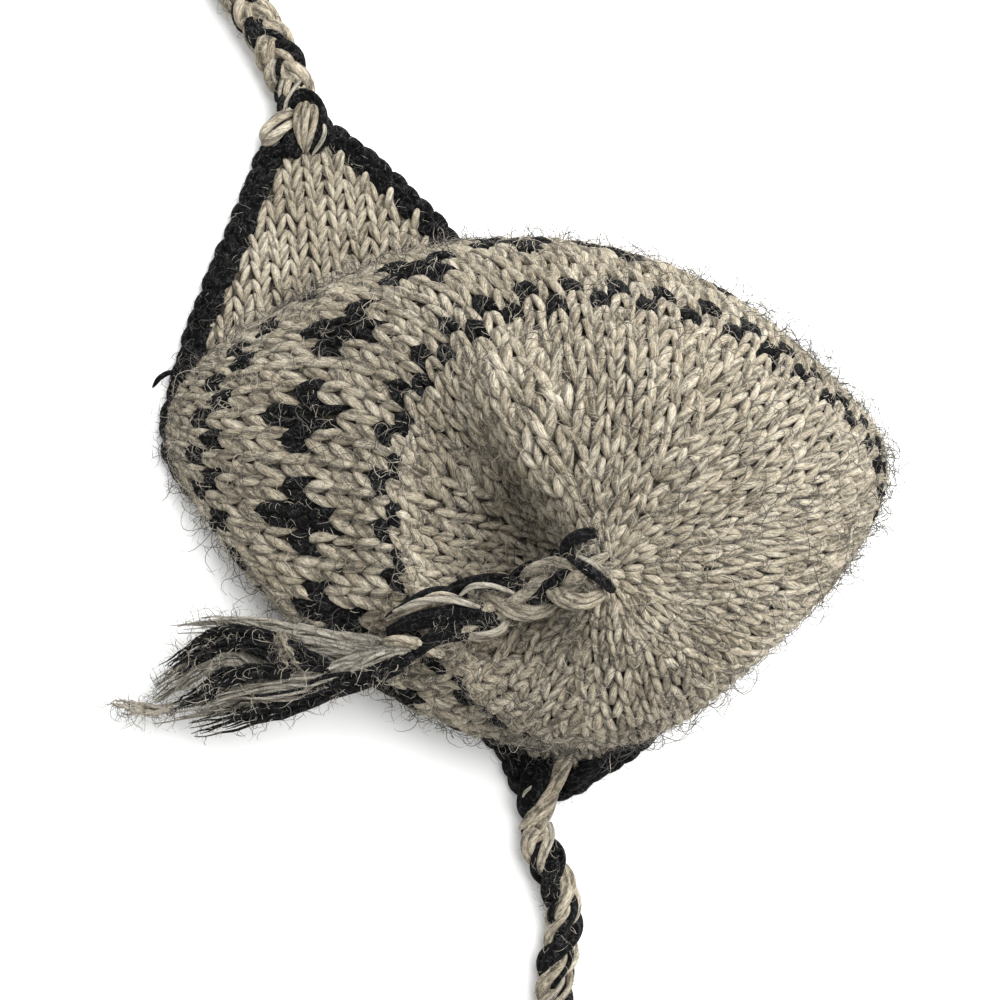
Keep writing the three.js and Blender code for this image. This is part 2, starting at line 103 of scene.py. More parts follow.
# The cords' chosen routes, as in the part.
TIE_A_ROUTE = (
    (-58.4, 116.0, 6.4), (-60.3, 120.5, 6.4), (-62.4, 125.4, 6.4), (-65.3, 130.6, 6.4), (-69.2, 136.4, 6.4),
    (-72.8, 142.2, 6.4), (-75.9, 148.0, 6.4), (-78.4, 154.0, 6.4), (-80.3, 160.0, 6.4), (-81.8, 166.0, 6.4),
    (-82.9, 172.0, 6.4), (-83.7, 178.0, 6.4), (-84.3, 184.0, 6.4),
)
TIE_B_ROUTE = (
    (10.4, -94.0, 5.6), (11.4, -99.0, 5.6), (13.8, -105.4, 5.6), (16.6, -111.4, 5.6), (18.3, -117.2, 5.6),
    (18.3, -122.6, 5.6), (17.2, -128.0, 5.6), (16.4, -133.4, 5.6), (16.0, -139.8, 5.6), (15.4, -146.4, 5.6),
    (15.4, -153.0, 5.6), (16.4, -159.2, 5.6),
)
CROWN_BRAID_ROUTE = (
    (28.0, -15.0, 69.8), (24.0, -16.4, 69.4), (20.2, -18.4, 67.4), (16.4, -20.6, 63.6), (12.8, -22.6, 59.0),
    (9.2, -24.4, 54.4), (5.0, -26.4, 50.0), (0.4, -28.4, 46.8), (-4.6, -30.4, 45.3), (-9.6, -32.6, 45.0),
    (-14.2, -34.6, 45.2), (-18.0, -36.2, 45.0),
)

# The knitting
STITCHES = 72
DECREASES = 8  # stitches lost in each decreasing round
DECREASE_ROWS = (13, 15, 17, 19, 21, 23, 25, 26)
LEG_POINTS = 7  # of one leg of a stitch
LEG_SIDES = 7
LEG_START = -0.22  # in rows from the stitch's own row
LEG_ROWS = 1.42  # from the foot of a leg to its end
FLOOR_GAP = 1.15  # least height of a yarn's middle, as a share of its radius
BODY_PIECES = (("wall_lower_knit", 0, 7), ("wall_upper_knit", 7, 14), ("crown_knit", 14, APEX_ROW))
FLAP_STITCH_WIDTH = 5.8
FLAP_ROW_HEIGHT = 4.4
FLAP_YARN_RADIUS = 1.3
EDGING_STITCH = 5.4
EDGING_FLUFF = 1.1  # how far the soft edging stands out past its middle rope
GROUND_DEPTH = 3.1  # of the ground behind the stitches

PLY_UNITS = 10.0  # the yarn map's second coordinate over one turn round a yarn
PLY_BULGE = 0.12  # how far the two plies stand out, as a share of the yarn's radius
YARN_TWIST = 0.26  # radians for each millimetre along a yarn

random = np.random.default_rng(72)


def unit(vectors):
    """Vectors of length one."""
    return vectors / np.maximum(np.linalg.norm(vectors, axis=-1, keepdims=True), 1e-9)


def spline(keys, values, x):
    """A smooth curve through (keys, values), read at x."""
    steps = np.diff(keys)
    slopes = np.diff(values) / steps
    inner = (slopes[:-1] * steps[1:] + slopes[1:] * steps[:-1]) / (steps[1:] + steps[:-1])
    tangents = np.concatenate([slopes[:1], inner, slopes[-1:]])
    i = np.clip(np.searchsorted(keys, x, side="right") - 1, 0, len(keys) - 2)
    t = (x - keys[i]) / steps[i]
    return ((2 * t ** 3 - 3 * t ** 2 + 1) * values[i] + (t ** 3 - 2 * t ** 2 + t) * steps[i] * tangents[i]
            + (3 * t ** 2 - 2 * t ** 3) * values[i + 1] + (t ** 3 - t ** 2) * steps[i] * tangents[i + 1])


def read_line(line, keys, x):
    """Points read at x from a line of points, each of which has a key."""
    return np.stack([np.interp(x, keys, line[:, axis]) for axis in range(3)], axis=-1)


def smooth_curve(points, count):
    """count points equally spaced along a centripetal curve through the given ones."""
    points = np.asarray(points, float)
    knots = np.concatenate([[0], np.cumsum(np.linalg.norm(np.diff(points, axis=0), axis=1) ** 0.5)])
    fine = np.linspace(0, knots[-1], 40 * len(points))
    line = np.stack([spline(knots, points[:, axis], fine) for axis in range(3)], axis=1)
    along = np.concatenate([[0], np.cumsum(np.linalg.norm(np.diff(line, axis=0), axis=1))])
    return read_line(line, along, np.linspace(0, along[-1], count))


def line_sides(line, up=UP):
    """Directions to the side of a line and upright on it, at each of its points."""
    forward = unit(np.gradient(line, axis=0))
    aside = unit(np.cross(forward, up))
    return aside, np.cross(aside, forward)


def offset(line, sides, across, above):
    """A line moved aside and upright, by a distance at each of its points."""
    return line + sides[0] * across[:, None] + sides[1] * above[:, None]


def length_of(line):
    """The length of a line of points."""
    return float(np.linalg.norm(np.diff(line, axis=0), axis=1).sum())


def fabric_point(direction, row):
    """Points on the outside of the knitting."""
    direction, row = np.broadcast_arrays(np.asarray(direction, float), np.asarray(row, float))
    west, east, south, north, rise_west, rise_east, rise_south, rise_north, turn, narrowing, twist = (
        spline(ROUNDS[:, 0], ROUNDS[:, column], row) for column in range(1, len(ROUND_COLUMNS)))
    angle = np.radians(direction - turn + twist)
    along = np.cos(angle)
    across = np.sin(angle) * (1 - narrowing * along)
    turn = np.radians(turn)
    cosine, sine = np.cos(turn), np.sin(turn)
    half_length = HAT_LENGTH * (east - west) / 2
    half_width = HAT_WIDTH * (north - south) / 2
    rise = ((rise_west + rise_east + rise_south + rise_north) / 4
            + (rise_east - rise_west) / 2 * along
            + (rise_north - rise_south) / 2 * np.sin(angle)
            + (rise_west + rise_east - rise_south - rise_north) / 4 * np.cos(2 * angle))
    x = HAT_LENGTH * (east + west) / 2 + half_length * along * cosine - half_width * across * sine
    y = HAT_WIDTH * (north + south) / 2 + half_length * along * sine + half_width * across * cosine
    z = RIM_HEIGHT + CROWN_RISE * rise
    for dent_direction, dent_row, before, after, rows, push_x, push_y, push_z in DENTS:
        turned = (direction - dent_direction + 180) % 360 - 180
        spread = np.where(turned < 0, before, after)
        share = np.exp(-(turned / spread) ** 2 - ((row - dent_row) / rows) ** 2)
        share = share * np.clip((APEX_ROW - row) / APEX_FADE_ROWS, 0, 1)
        x = x + share * push_x * HAT_LENGTH
        y = y + share * push_y * HAT_WIDTH
        z = z + share * push_z * CROWN_RISE
    return np.stack([x, y, z], axis=-1)


def fabric_normal(direction, row):
    """Directions out of the fabric."""
    level = np.minimum(row, APEX_ROW - 0.5)
    around = fabric_point(direction + 3, level) - fabric_point(direction - 3, level)
    upper = np.minimum(row + 0.4, APEX_ROW - 0.3)
    lower = np.maximum(np.minimum(row, APEX_ROW - 0.7) - 0.4, 0)
    return unit(np.cross(around, fabric_point(direction, upper) - fabric_point(direction, lower)))


def inward_at_rim(direction):
    """Level directions from the rim towards the inside of the hat."""
    around = fabric_point(direction + 2, 0) - fabric_point(direction - 2, 0)
    return unit(np.stack([-around[..., 1], around[..., 0], 0 * around[..., 0]], axis=-1))


def rim_middle(direction, height=0.0):
    """Points on the middle of the wall's lower edge."""
    point = fabric_point(direction, 0) + inward_at_rim(direction) * WALL / 2
    point[..., 2] = height
    return point


def inside_point(direction, row, depth):
    """Points a depth in from the outside of the knitting."""
    level = np.clip(row / 2, 0, 1)
    level = (level * level * (3 - 2 * level))[..., None]
    inward = unit(inward_at_rim(direction) * (1 - level) - fabric_normal(direction, row) * level)
    point = fabric_point(direction, row) + inward * np.asarray(depth)[..., None]
    point[..., 2] = np.maximum(point[..., 2], RIM_HEIGHT)
    return point


def flap_axes(flap):
    """A flap's base middle, its way to the tip and its half base, as vectors."""
    first = rim_middle(np.array(flap["start"], float))
    second = rim_middle(np.array(flap["end"], float))
    base = (first + second) / 2
    tip = np.array([flap["tip"][0] * HAT_LENGTH, flap["tip"][1] * HAT_WIDTH, 0])
    return base, tip - base, (second - first) / 2


def flap_point(flap, along, across):
    """Points on a flap, at shares of the way to its tip and of half its base."""
    base, to_tip, half_base = flap_axes(flap)
    return base + np.multiply.outer(along, to_tip) + np.multiply.outer(across, half_base)


def flap_side_points(flap, side):
    """The middle line of the edging on one side of a flap."""
    rows = flap["first"] if side < 0 else flap["second"]
    points = [flap_point(flap, along, side * across) for along, across in rows]
    towards_side = unit(flap_axes(flap)[2]) * side
    for from_middle in (EDGING_WIDTH / 2, 0):
        points.append(flap_point(flap, 1.0, 0.0) + towards_side * (from_middle + CLEARANCE / 2))
    return points


def edging_line(side, count):
    """The middle line of an edging: flap a's side, the rim and flap b's side."""
    rim = list(rim_middle(np.linspace(*EDGED_RIM[side], 13)))
    points = flap_side_points(FLAPS["a"], side)[::-1] + rim + flap_side_points(FLAPS["b"], side)
    line = smooth_curve(points, count)
    line[:, 2] = EDGING_HEIGHT / 2
    return line


# Meshes


def add_object(name, data):
    """Puts an object in the scene."""
    thing = bpy.data.objects.new(name, data)
    bpy.context.scene.collection.objects.link(thing)
    return thing


def corners(*points):
    """Triangles or other rows from the numbers of their points, as arrays or single numbers."""
    return np.stack(np.broadcast_arrays(*points), axis=-1)


def yarn_tubes(centres, radii, ups, sides=LEG_SIDES):
    """Closed yarns along rows of centres (yarn, point, xyz): points, triangles and yarn coordinates.
    A yarn's own coordinates are its length in millimetres and its turn, which follows its two plies."""
    yarns, steps = centres.shape[:2]
    tangents = unit(np.gradient(centres, axis=1))
    across = unit(np.cross(tangents, ups))
    outward = np.cross(across, tangents)
    lengths = np.linalg.norm(np.diff(centres, axis=1), axis=2)
    along = np.concatenate([np.zeros((yarns, 1)), np.cumsum(lengths, axis=1)], axis=1)
    ply_turn = random.uniform(0, 2 * np.pi, (yarns, 1)) + YARN_TWIST * along
    angles = np.pi + np.arange(sides) * 2 * np.pi / sides
    bulge = 1 + PLY_BULGE * np.cos(2 * (angles - ply_turn[..., None]))
    reach = (radii[..., None] * bulge)[..., None]
    rings = centres[:, :, None] + reach * (np.cos(angles)[:, None] * outward[:, :, None]
                                           + np.sin(angles)[:, None] * across[:, :, None])
    points = np.concatenate([rings.reshape(yarns, -1, 3), centres[:, :1], centres[:, -1:]], axis=1)

    # Each corner's ring and its turn round the yarn: two triangles a face, then a fan at each end
    ring, turn = np.divmod(np.arange((steps - 1) * sides), sides)
    spot = np.arange(sides)
    first = np.zeros((sides, 3), int)
    rings_of = np.concatenate([corners(ring, ring, ring + 1), corners(ring, ring + 1, ring + 1),
                               first, first + steps - 1])
    turns_of = np.concatenate([corners(turn, turn + 1, turn + 1), corners(turn, turn + 1, turn),
                               corners(spot + 1, spot, spot), corners(spot, spot + 1, spot)])
    triangles = rings_of * sides + turns_of % sides
    triangles[-2 * sides:-sides, 2] = steps * sides
    triangles[-sides:, 2] = steps * sides + 1
    u = along[:, rings_of] + random.uniform(0, 4000, (yarns, 1, 1))
    v = turns_of / sides + 0.5 - ply_turn[:, rings_of] / (2 * np.pi)
    coordinates = np.stack([u, v * PLY_UNITS], axis=-1)
    offsets = (np.arange(yarns) * points.shape[1])[:, None, None]
    return points.reshape(-1, 3), (triangles[None] + offsets).reshape(-1, 3), coordinates.reshape(-1, 2)


class Pile:
    """Meshes gathered for one object, each with its material."""

    def __init__(self):
        self.points, self.triangles, self.coordinates, self.materials = [], [], [], []

    def add(self, mesh, material, second=None, second_from=0):
        """Adds a mesh. Where it has a second material, that covers its triangles from second_from on."""
        points, triangles, coordinates = mesh
        start = sum(len(p) for p in self.points)
        self.points.append(points)
        self.triangles.append(triangles + start)
        self.coordinates.append(coordinates)
        first_count = second_from if second else len(triangles)
        self.materials.append((material, first_count))
        if second:
            self.materials.append((second, len(triangles) - first_count))

    def add_yarn(self, line, radius, up, wool, sides=9):
        """Adds one yarn along a line of points."""
        radii = np.broadcast_to(radius, len(line))
        self.add(yarn_tubes(line[None], radii[None], up, sides), wool)

    def build(self, name, slot, *nodes):
        """Makes the object, which rides on the hat and replaces the CAD nodes named."""
        points = (np.concatenate(self.points) + DRAWING_SHIFT) * MM
        triangles = np.concatenate(self.triangles)
        mesh = bpy.data.meshes.new(name)
        mesh.vertices.add(len(points))
        mesh.vertices.foreach_set("co", points.astype(np.float32).ravel())
        mesh.loops.add(triangles.size)
        mesh.loops.foreach_set("vertex_index", triangles.astype(np.int32).ravel())
        mesh.polygons.add(len(triangles))
        mesh.polygons.foreach_set("loop_start", np.arange(0, triangles.size, 3, dtype=np.int32))
        used = list(dict.fromkeys(material for material, _ in self.materials))
        indices = np.concatenate([np.full(count, used.index(m), np.int32) for m, count in self.materials])
        for material in used:
            mesh.materials.append(material)
        mesh.polygons.foreach_set("material_index", indices)
        layer = mesh.uv_layers.new(name="yarn")
        layer.uv.foreach_set("vector", np.concatenate(self.coordinates).astype(np.float32).ravel())
        mesh.polygons.foreach_set("use_smooth", np.ones(len(triangles), bool))
        mesh.update(calc_edges=True)
        mesh.validate()
        piece = add_object(name, mesh)
        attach(piece, "root")
        if nodes:
            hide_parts(*nodes)
        return piece


# Materials


class Wiring:
    """Short ways to add and join a material's nodes. A value is a constant or another node's socket."""

    def __init__(self, material):
        self.nodes = material.node_tree.nodes
        self.links = material.node_tree.links

    def join(self, value, socket):
        if isinstance(value, bpy.types.NodeSocket):
            self.links.new(value, socket)
        else:
            socket.default_value = value

    def add(self, kind, **inputs):
        node = self.nodes.new(kind)
        for name, value in inputs.items():
            self.join(value, node.inputs[name.replace("_", " ")])
        return node

    def math(self, operation, first, second=0):
        """A sum, product or function of values."""
        node = self.nodes.new("ShaderNodeMath")
        node.operation = operation
        self.join(first, node.inputs[0])
        self.join(second, node.inputs[1])
        return node.outputs[0]

    def spread(self, value, low, high, to_low, to_high):
        """A value's range from low to high, stretched to another range."""
        return self.add("ShaderNodeMapRange", Value=value, From_Min=low, From_Max=high, To_Min=to_low,
                        To_Max=to_high).outputs["Result"]

    def noise(self, vector, scale, detail, roughness, dimensions="2D"):
        """Noise of a vector stretched by a scale along each axis."""
        stretched = self.add("ShaderNodeMapping", Vector=vector, Scale=scale).outputs["Vector"]
        texture = self.add("ShaderNodeTexNoise", Vector=stretched, Scale=1, Detail=detail,
                           Roughness=roughness)
        texture.noise_dimensions = dimensions
        return texture.outputs["Fac"]

    def mix(self, blend, factor, colour, other):
        """A colour with another laid over it, or multiplied in, by a factor."""
        node = self.nodes.new("ShaderNodeMix")
        node.data_type = "RGBA"
        node.blend_type = blend
        for name, value in (("Factor", factor), ("A", colour), ("B", other)):
            self.join(value, node.inputs[name])
        return node.outputs["Result"]


def wool_material(name, dark, middle, light, hair, painted_groove_shade, fibre_shade, hair_share, gloss=0.2):
    """Heathered two-ply wool: fibres along the yarn, lighter and darker lengths, a groove between the
    plies darkened with painted shade, and stray hairs that cross the surface."""
    material = bpy.data.materials.new(name)
    material.use_nodes = True
    wiring = Wiring(material)
    shader = wiring.nodes["Principled BSDF"]
    for name, value in (("Roughness", 0.9), ("Specular IOR Level", gloss), ("Sheen Weight", 0.4 * gloss),
                        ("Sheen Roughness", 0.5)):
        shader.inputs[name].default_value = value

    yarn = wiring.add("ShaderNodeUVMap")
    yarn.uv_map = "yarn"
    place = wiring.add("ShaderNodeTexCoord").outputs["Object"]
    split = wiring.add("ShaderNodeSeparateXYZ", Vector=yarn.outputs["UV"])

    lengths = wiring.noise(yarn.outputs["UV"], (0.12, 0.1, 1), 2, 0.5)
    fibres = wiring.noise(yarn.outputs["UV"], (0.5, 2.6, 1), 4, 0.7)
    patches = wiring.noise(place, (55, 55, 55), 2, 0.5, "3D")
    tone = wiring.math("ADD", wiring.math("MULTIPLY", lengths, 0.42), wiring.math("MULTIPLY", fibres, 0.33))
    tone = wiring.math("ADD", tone, wiring.math("MULTIPLY", patches, 0.25))
    ramp = wiring.add("ShaderNodeValToRGB", Fac=tone)
    lowest, highest = ramp.color_ramp.elements
    lowest.position, lowest.color = 0.36, (*dark, 1)
    highest.position, highest.color = 0.63, (*light, 1)
    ramp.color_ramp.elements.new(0.5).color = (*middle, 1)

    # The groove between the two plies: its colour is multiplied darker as painted shade in the crease, and it
    # is also a bump below.
    turn = wiring.math("COSINE", wiring.math("MULTIPLY", split.outputs["Y"], 4 * np.pi / PLY_UNITS))
    groove = wiring.spread(turn, -1, -0.25, 0, 1)
    colour = wiring.mix("MULTIPLY", 1, ramp.outputs["Color"], wiring.spread(groove, 0, 1, painted_groove_shade, 1))
    colour = wiring.mix("MULTIPLY", 1, colour, wiring.spread(fibres, 0.36, 0.6, fibre_shade, 1.06))
    for scale, fibre_colour in ((420, hair), (610, [0.45 * level for level in dark])):
        contour = wiring.noise(place, (scale, scale, scale * 1.3), 3, 0.55, "3D")
        distance = wiring.math("ABSOLUTE", wiring.math("SUBTRACT", contour, 0.5))
        share = wiring.spread(distance, 0, 0.022, 1.4 * hair_share, 0)
        colour = wiring.mix("MIX", share, colour, (*fibre_colour, 1))
    wiring.join(colour, shader.inputs["Base Color"])

    height = wiring.math("ADD", wiring.math("MULTIPLY", groove, 0.55), wiring.math("MULTIPLY", fibres, 0.8))
    bump = wiring.add("ShaderNodeBump", Strength=0.9, Distance=0.5 * MM, Height=height)
    wiring.join(bump.outputs["Normal"], shader.inputs["Normal"])
    return material


TAUPE = wool_material("taupe_wool", (0.19, 0.157, 0.105), (0.41, 0.355, 0.262), (0.62, 0.56, 0.44),
                      (0.72, 0.67, 0.55), 0.36, 0.5, 0.3)
BLACK = wool_material("black_wool", (0.0015, 0.0015, 0.0018), (0.003, 0.003, 0.0033), (0.010, 0.010, 0.011),
                      (0.10, 0.10, 0.10), 0.6, 0.6, 0.35, 0.06)
PALE_YARN = wool_material("pale_yarn", (0.26, 0.23, 0.18), (0.46, 0.42, 0.34), (0.60, 0.56, 0.47),
                          (0.7, 0.65, 0.55), 0.5, 0.6, 0.3)
PALE_HAIR = wool_material("pale_hair", (0.30, 0.26, 0.20), (0.46, 0.41, 0.33), (0.62, 0.57, 0.48),
                          (0.6, 0.55, 0.47), 0.9, 0.9, 0)
DARK_HAIR = wool_material("dark_hair", (0.03, 0.03, 0.03), (0.07, 0.066, 0.06), (0.14, 0.13, 0.12),
                          (0.14, 0.13, 0.12), 0.9, 0.9, 0)
# The ground behind the stitches is taupe wool coloured dark brown: painted shade in the gaps between the
# stitches.
PAINTED_SHADE_GROUND = wool_material("painted_shade_between_stitches", (0.045, 0.036, 0.026), (0.08, 0.065, 0.048),
                       (0.13, 0.11, 0.08), (0.3, 0.27, 0.2), 0.8, 0.7, 0.2)


# Yarns placed one by one, in the drawing frame

SLUBS = ((3.9, 46.4), (10.3, 41.3), (24.5, 29.6))
FLAP_TIPS = ((-45.9, 98.6), (-38.7, 92.4), (-31.6, 88.0), (-24.1, 81.9))
LOOSE_RIM_YARN = [(((-88.0, 31.0, 4.0), (-91.2, 34.2, 5.4), (-94.0, 36.6, 5.6), (-97.6, 35.4, 4.6),
                    (-100.2, 32.4, 3.2)), 0.75, BLACK)]

# Each strand's share of the pitch at its start, and its yarns' wool and thickness
TIE_A_STRANDS = (
    (-0.250, ((BLACK, 1.1), (BLACK, 1.1), (TAUPE, 0.9), (PALE_YARN, 0.5), (BLACK, 0.9))),
    (0.083, ((TAUPE, 1.2), (TAUPE, 1.15), (TAUPE, 1.15), (TAUPE, 1.0))),
    (0.417, ((TAUPE, 1.15), (TAUPE, 1.15), (TAUPE, 1.1), (BLACK, 0.6), (PALE_YARN, 0.45))),
)
TIE_B_STRANDS = (
    (-0.664, ((BLACK, 1.2), (BLACK, 1.15), (BLACK, 1.15), (BLACK, 1.0))),
    (-0.014, ((TAUPE, 1.15), (TAUPE, 1.15), (TAUPE, 1.1), (BLACK, 0.7))),
    (-0.320, ((TAUPE, 0.8), (BLACK, 0.9), (TAUPE, 0.9), (PALE_YARN, 0.6))),
)
# Yarns, width and points of the crown braid's lobes, from the apex to the tassel
CROWN_LOBES = (
    (3 * (BLACK,), 4.0, ((18.4, -16.1, 64.6), (17.3, -12.4, 65.5), (19.5, -9.5, 68.7), (24.1, -8.3, 70.4))),
    (2 * (BLACK,), 2.8, ((17.4, -14.3, 67.6), (22.3, -17.7, 72.5), (26.3, -20.7, 71.6),
     (29.1, -23.2, 66.8))),
    ((PALE_YARN,), 1.3, ((19.5, -14.2, 69.7), (23.6, -16.0, 72.2), (27.5, -19.0, 69.8))),
    (3 * (TAUPE,), 4.2, ((24.2, -21.2, 68.4), (19.5, -17.8, 68.7), (13.7, -17.0, 63.2),
     (8.3, -19.2, 55.4), (4.4, -23.5, 46.6))),
    ((BLACK,), 2.2, ((14.8, -12.9, 56.5), (13.5, -15.5, 56.8), (9.6, -17.5, 52.0))),
    (2 * (BLACK,), 3.0, ((8.8, -16.6, 50.0), (4.4, -19.9, 48.6), (0.9, -23.1, 45.1))),
    (3 * (TAUPE,), 4.4, ((26.3, -23.4, 67.6), (22.0, -25.8, 69.4), (17.0, -25.5, 67.2),
     (12.1, -22.8, 61.1), (7.4, -20.6, 52.6))),
    (3 * (BLACK,), 4.2, ((14.2, -25.7, 59.8), (8.7, -23.7, 55.9), (0.9, -22.0, 50.1),
     (-7.5, -22.1, 48.1), (-14.2, -24.4, 45.2))),
    ((PALE_YARN,), 1.3, ((3.9, -24.5, 53.3), (-2.2, -22.6, 51.0), (-7.5, -22.9, 50.1),
     (-10.8, -25.5, 48.1))),
    (3 * (TAUPE,), 4.2, ((14.7, -25.8, 59.4), (9.6, -29.2, 55.9), (3.9, -29.4, 52.3),
     (-1.3, -26.9, 49.3), (-5.8, -25.3, 45.2))),
    (4 * (BLACK,), 5.6, ((2.7, -31.9, 47.4), (-4.0, -30.7, 48.5), (-13.2, -30.4, 49.2),
     (-22.1, -32.3, 47.0), (-30.3, -35.7, 43.0))),
    ((PALE_YARN,), 1.5, ((-5.3, -28.4, 49.3), (-13.2, -26.4, 50.2), (-21.2, -26.9, 49.2),
     (-28.4, -29.8, 45.4))),
    ((TAUPE, TAUPE, BLACK), 4.0, ((-8.9, -26.3, 43.0), (-15.9, -24.8, 47.1), (-23.1, -28.0, 45.7),
     (-30.4, -32.2, 42.0))),
    ((TAUPE, PALE_YARN), 2.6, ((2.2, -30.5, 47.1), (0.0, -34.4, 48.7), (-5.3, -36.4, 48.3),
     (-9.3, -35.9, 46.0))),
    (3 * (BLACK,), 4.6, ((-2.7, -35.1, 44.9), (-9.7, -35.0, 47.0), (-16.8, -36.7, 48.1),
     (-23.1, -41.3, 45.7))),
    (2 * (TAUPE,), 3.2, ((-15.1, -41.4, 44.2), (-20.4, -38.8, 46.4), (-26.6, -37.5, 45.8),
     (-31.2, -38.4, 43.0))),
)

# Wool, radius and points of the yarns at each tie's root
TIE_A_ROOT = (
    (TAUPE, 1.15, ((-56.3, 99.8, 5.0), (-57.8, 106.4, 8.6), (-57.4, 110.9, 9.6), (-55.8, 114.4, 7.6))),
    (TAUPE, 1.15, ((-56.1, 99.8, 5.0), (-55.7, 106.4, 9.6), (-55.2, 110.9, 10.4), (-55.0, 114.8, 8.0))),
    (TAUPE, 1.15, ((-55.9, 99.8, 5.0), (-53.4, 106.4, 8.6), (-52.9, 110.9, 9.4), (-54.2, 114.4, 7.6))),
    (TAUPE, 1.55, ((-57.4, 112.4, 6.6), (-62.6, 109.8, 8.0), (-66.9, 105.9, 7.4), (-68.2, 102.9, 5.0))),
    (TAUPE, 1.55, ((-58.6, 109.2, 6.0), (-62.0, 106.1, 7.8), (-64.9, 103.8, 7.2), (-68.4, 102.3, 4.6))),
    (BLACK, 1.95, ((-57.6, 110.6, 4.8), (-59.6, 104.6, 6.0), (-61.8, 99.6, 5.2))),
    (BLACK, 1.80, ((-58.0, 106.0, 4.8), (-58.0, 102.0, 5.4), (-59.0, 98.0, 5.0))),
    (BLACK, 1.90, ((-69.2, 101.0, 3.6), (-64.6, 101.0, 4.6), (-58.5, 99.6, 4.6))),
    (BLACK, 1.20, ((-61.5, 108.6, 6.2), (-60.6, 113.4, 8.6), (-56.3, 116.2, 9.8), (-52.2, 114.2, 9.4),
                   (-50.4, 110.4, 8.6), (-51.2, 106.2, 7.8), (-54.4, 100.6, 5.4))),
    (BLACK, 1.10, ((-60.0, 109.6, 6.2), (-59.0, 112.8, 8.2), (-56.0, 114.6, 9.2), (-53.0, 113.0, 8.6),
                   (-51.6, 110.0, 8.2), (-52.4, 105.8, 7.6), (-55.0, 100.4, 5.4))),
    (PALE_YARN, 0.60, ((-51.0, 109.0, 8.2), (-50.0, 105.6, 8.6), (-50.9, 102.8, 8.0), (-54.0, 99.0, 5.4))),
    (PALE_YARN, 0.60, ((-56.6, 120.0, 10.0), (-59.0, 116.6, 10.6), (-60.9, 113.2, 9.6), (-61.6, 109.6, 7.4))),
    (BLACK, 1.25, ((-58.0, 121.0, 8.4), (-61.0, 116.6, 9.0), (-62.8, 112.2, 8.0), (-62.2, 108.6, 5.4))),
    (BLACK, 1.90, ((-54.4, 99.6, 4.2), (-51.2, 103.2, 5.0), (-47.6, 105.6, 4.6))),
    (BLACK, 2.40, ((-60.4, 104.0, 2.6), (-59.2, 110.0, 3.2), (-58.0, 117.0, 4.4))),
    (TAUPE, 2.40, ((-54.6, 103.0, 2.8), (-55.6, 110.0, 4.0), (-57.6, 118.0, 5.6))),
)
TIE_B_ROOT = (
    (BLACK, 2.05, ((8.6, -73.9, 4.6), (7.4, -81.0, 6.4), (6.9, -87.0, 6.4), (8.4, -92.6, 4.6))),
    (BLACK, 2.05, ((11.6, -73.9, 5.0), (10.6, -81.0, 7.6), (9.2, -87.4, 7.0), (9.2, -92.6, 5.0))),
    (BLACK, 1.90, ((14.2, -74.0, 4.8), (13.0, -80.4, 6.8), (11.2, -86.0, 6.2), (10.4, -91.0, 4.6))),
    (BLACK, 2.30, ((2.4, -75.2, 3.0), (4.6, -79.0, 4.2), (7.6, -84.2, 4.0))),
    (TAUPE, 1.50, ((20.8, -72.4, 4.6), (17.8, -79.0, 6.6), (14.9, -84.8, 7.8), (11.2, -89.6, 8.4),
                   (7.2, -95.6, 5.2))),
    (TAUPE, 1.50, ((18.6, -72.4, 4.6), (15.6, -79.0, 6.4), (12.8, -85.4, 7.6), (8.8, -90.4, 8.0),
                   (5.6, -94.8, 4.6))),
    (TAUPE, 1.30, ((16.4, -82.0, 4.4), (14.6, -88.0, 7.0), (12.0, -93.0, 7.4), (9.6, -98.4, 5.0))),
    (BLACK, 2.35, ((29.2, -75.4, 4.2), (24.0, -78.8, 5.2), (19.2, -83.2, 4.2))),
    (BLACK, 1.90, ((26.2, -75.0, 5.0), (22.4, -78.6, 6.2), (19.6, -81.2, 5.6))),
    (PALE_YARN, 0.42, ((9.8, -81.2, 9.0), (7.0, -83.6, 8.8), (5.4, -87.4, 6.4))),
)
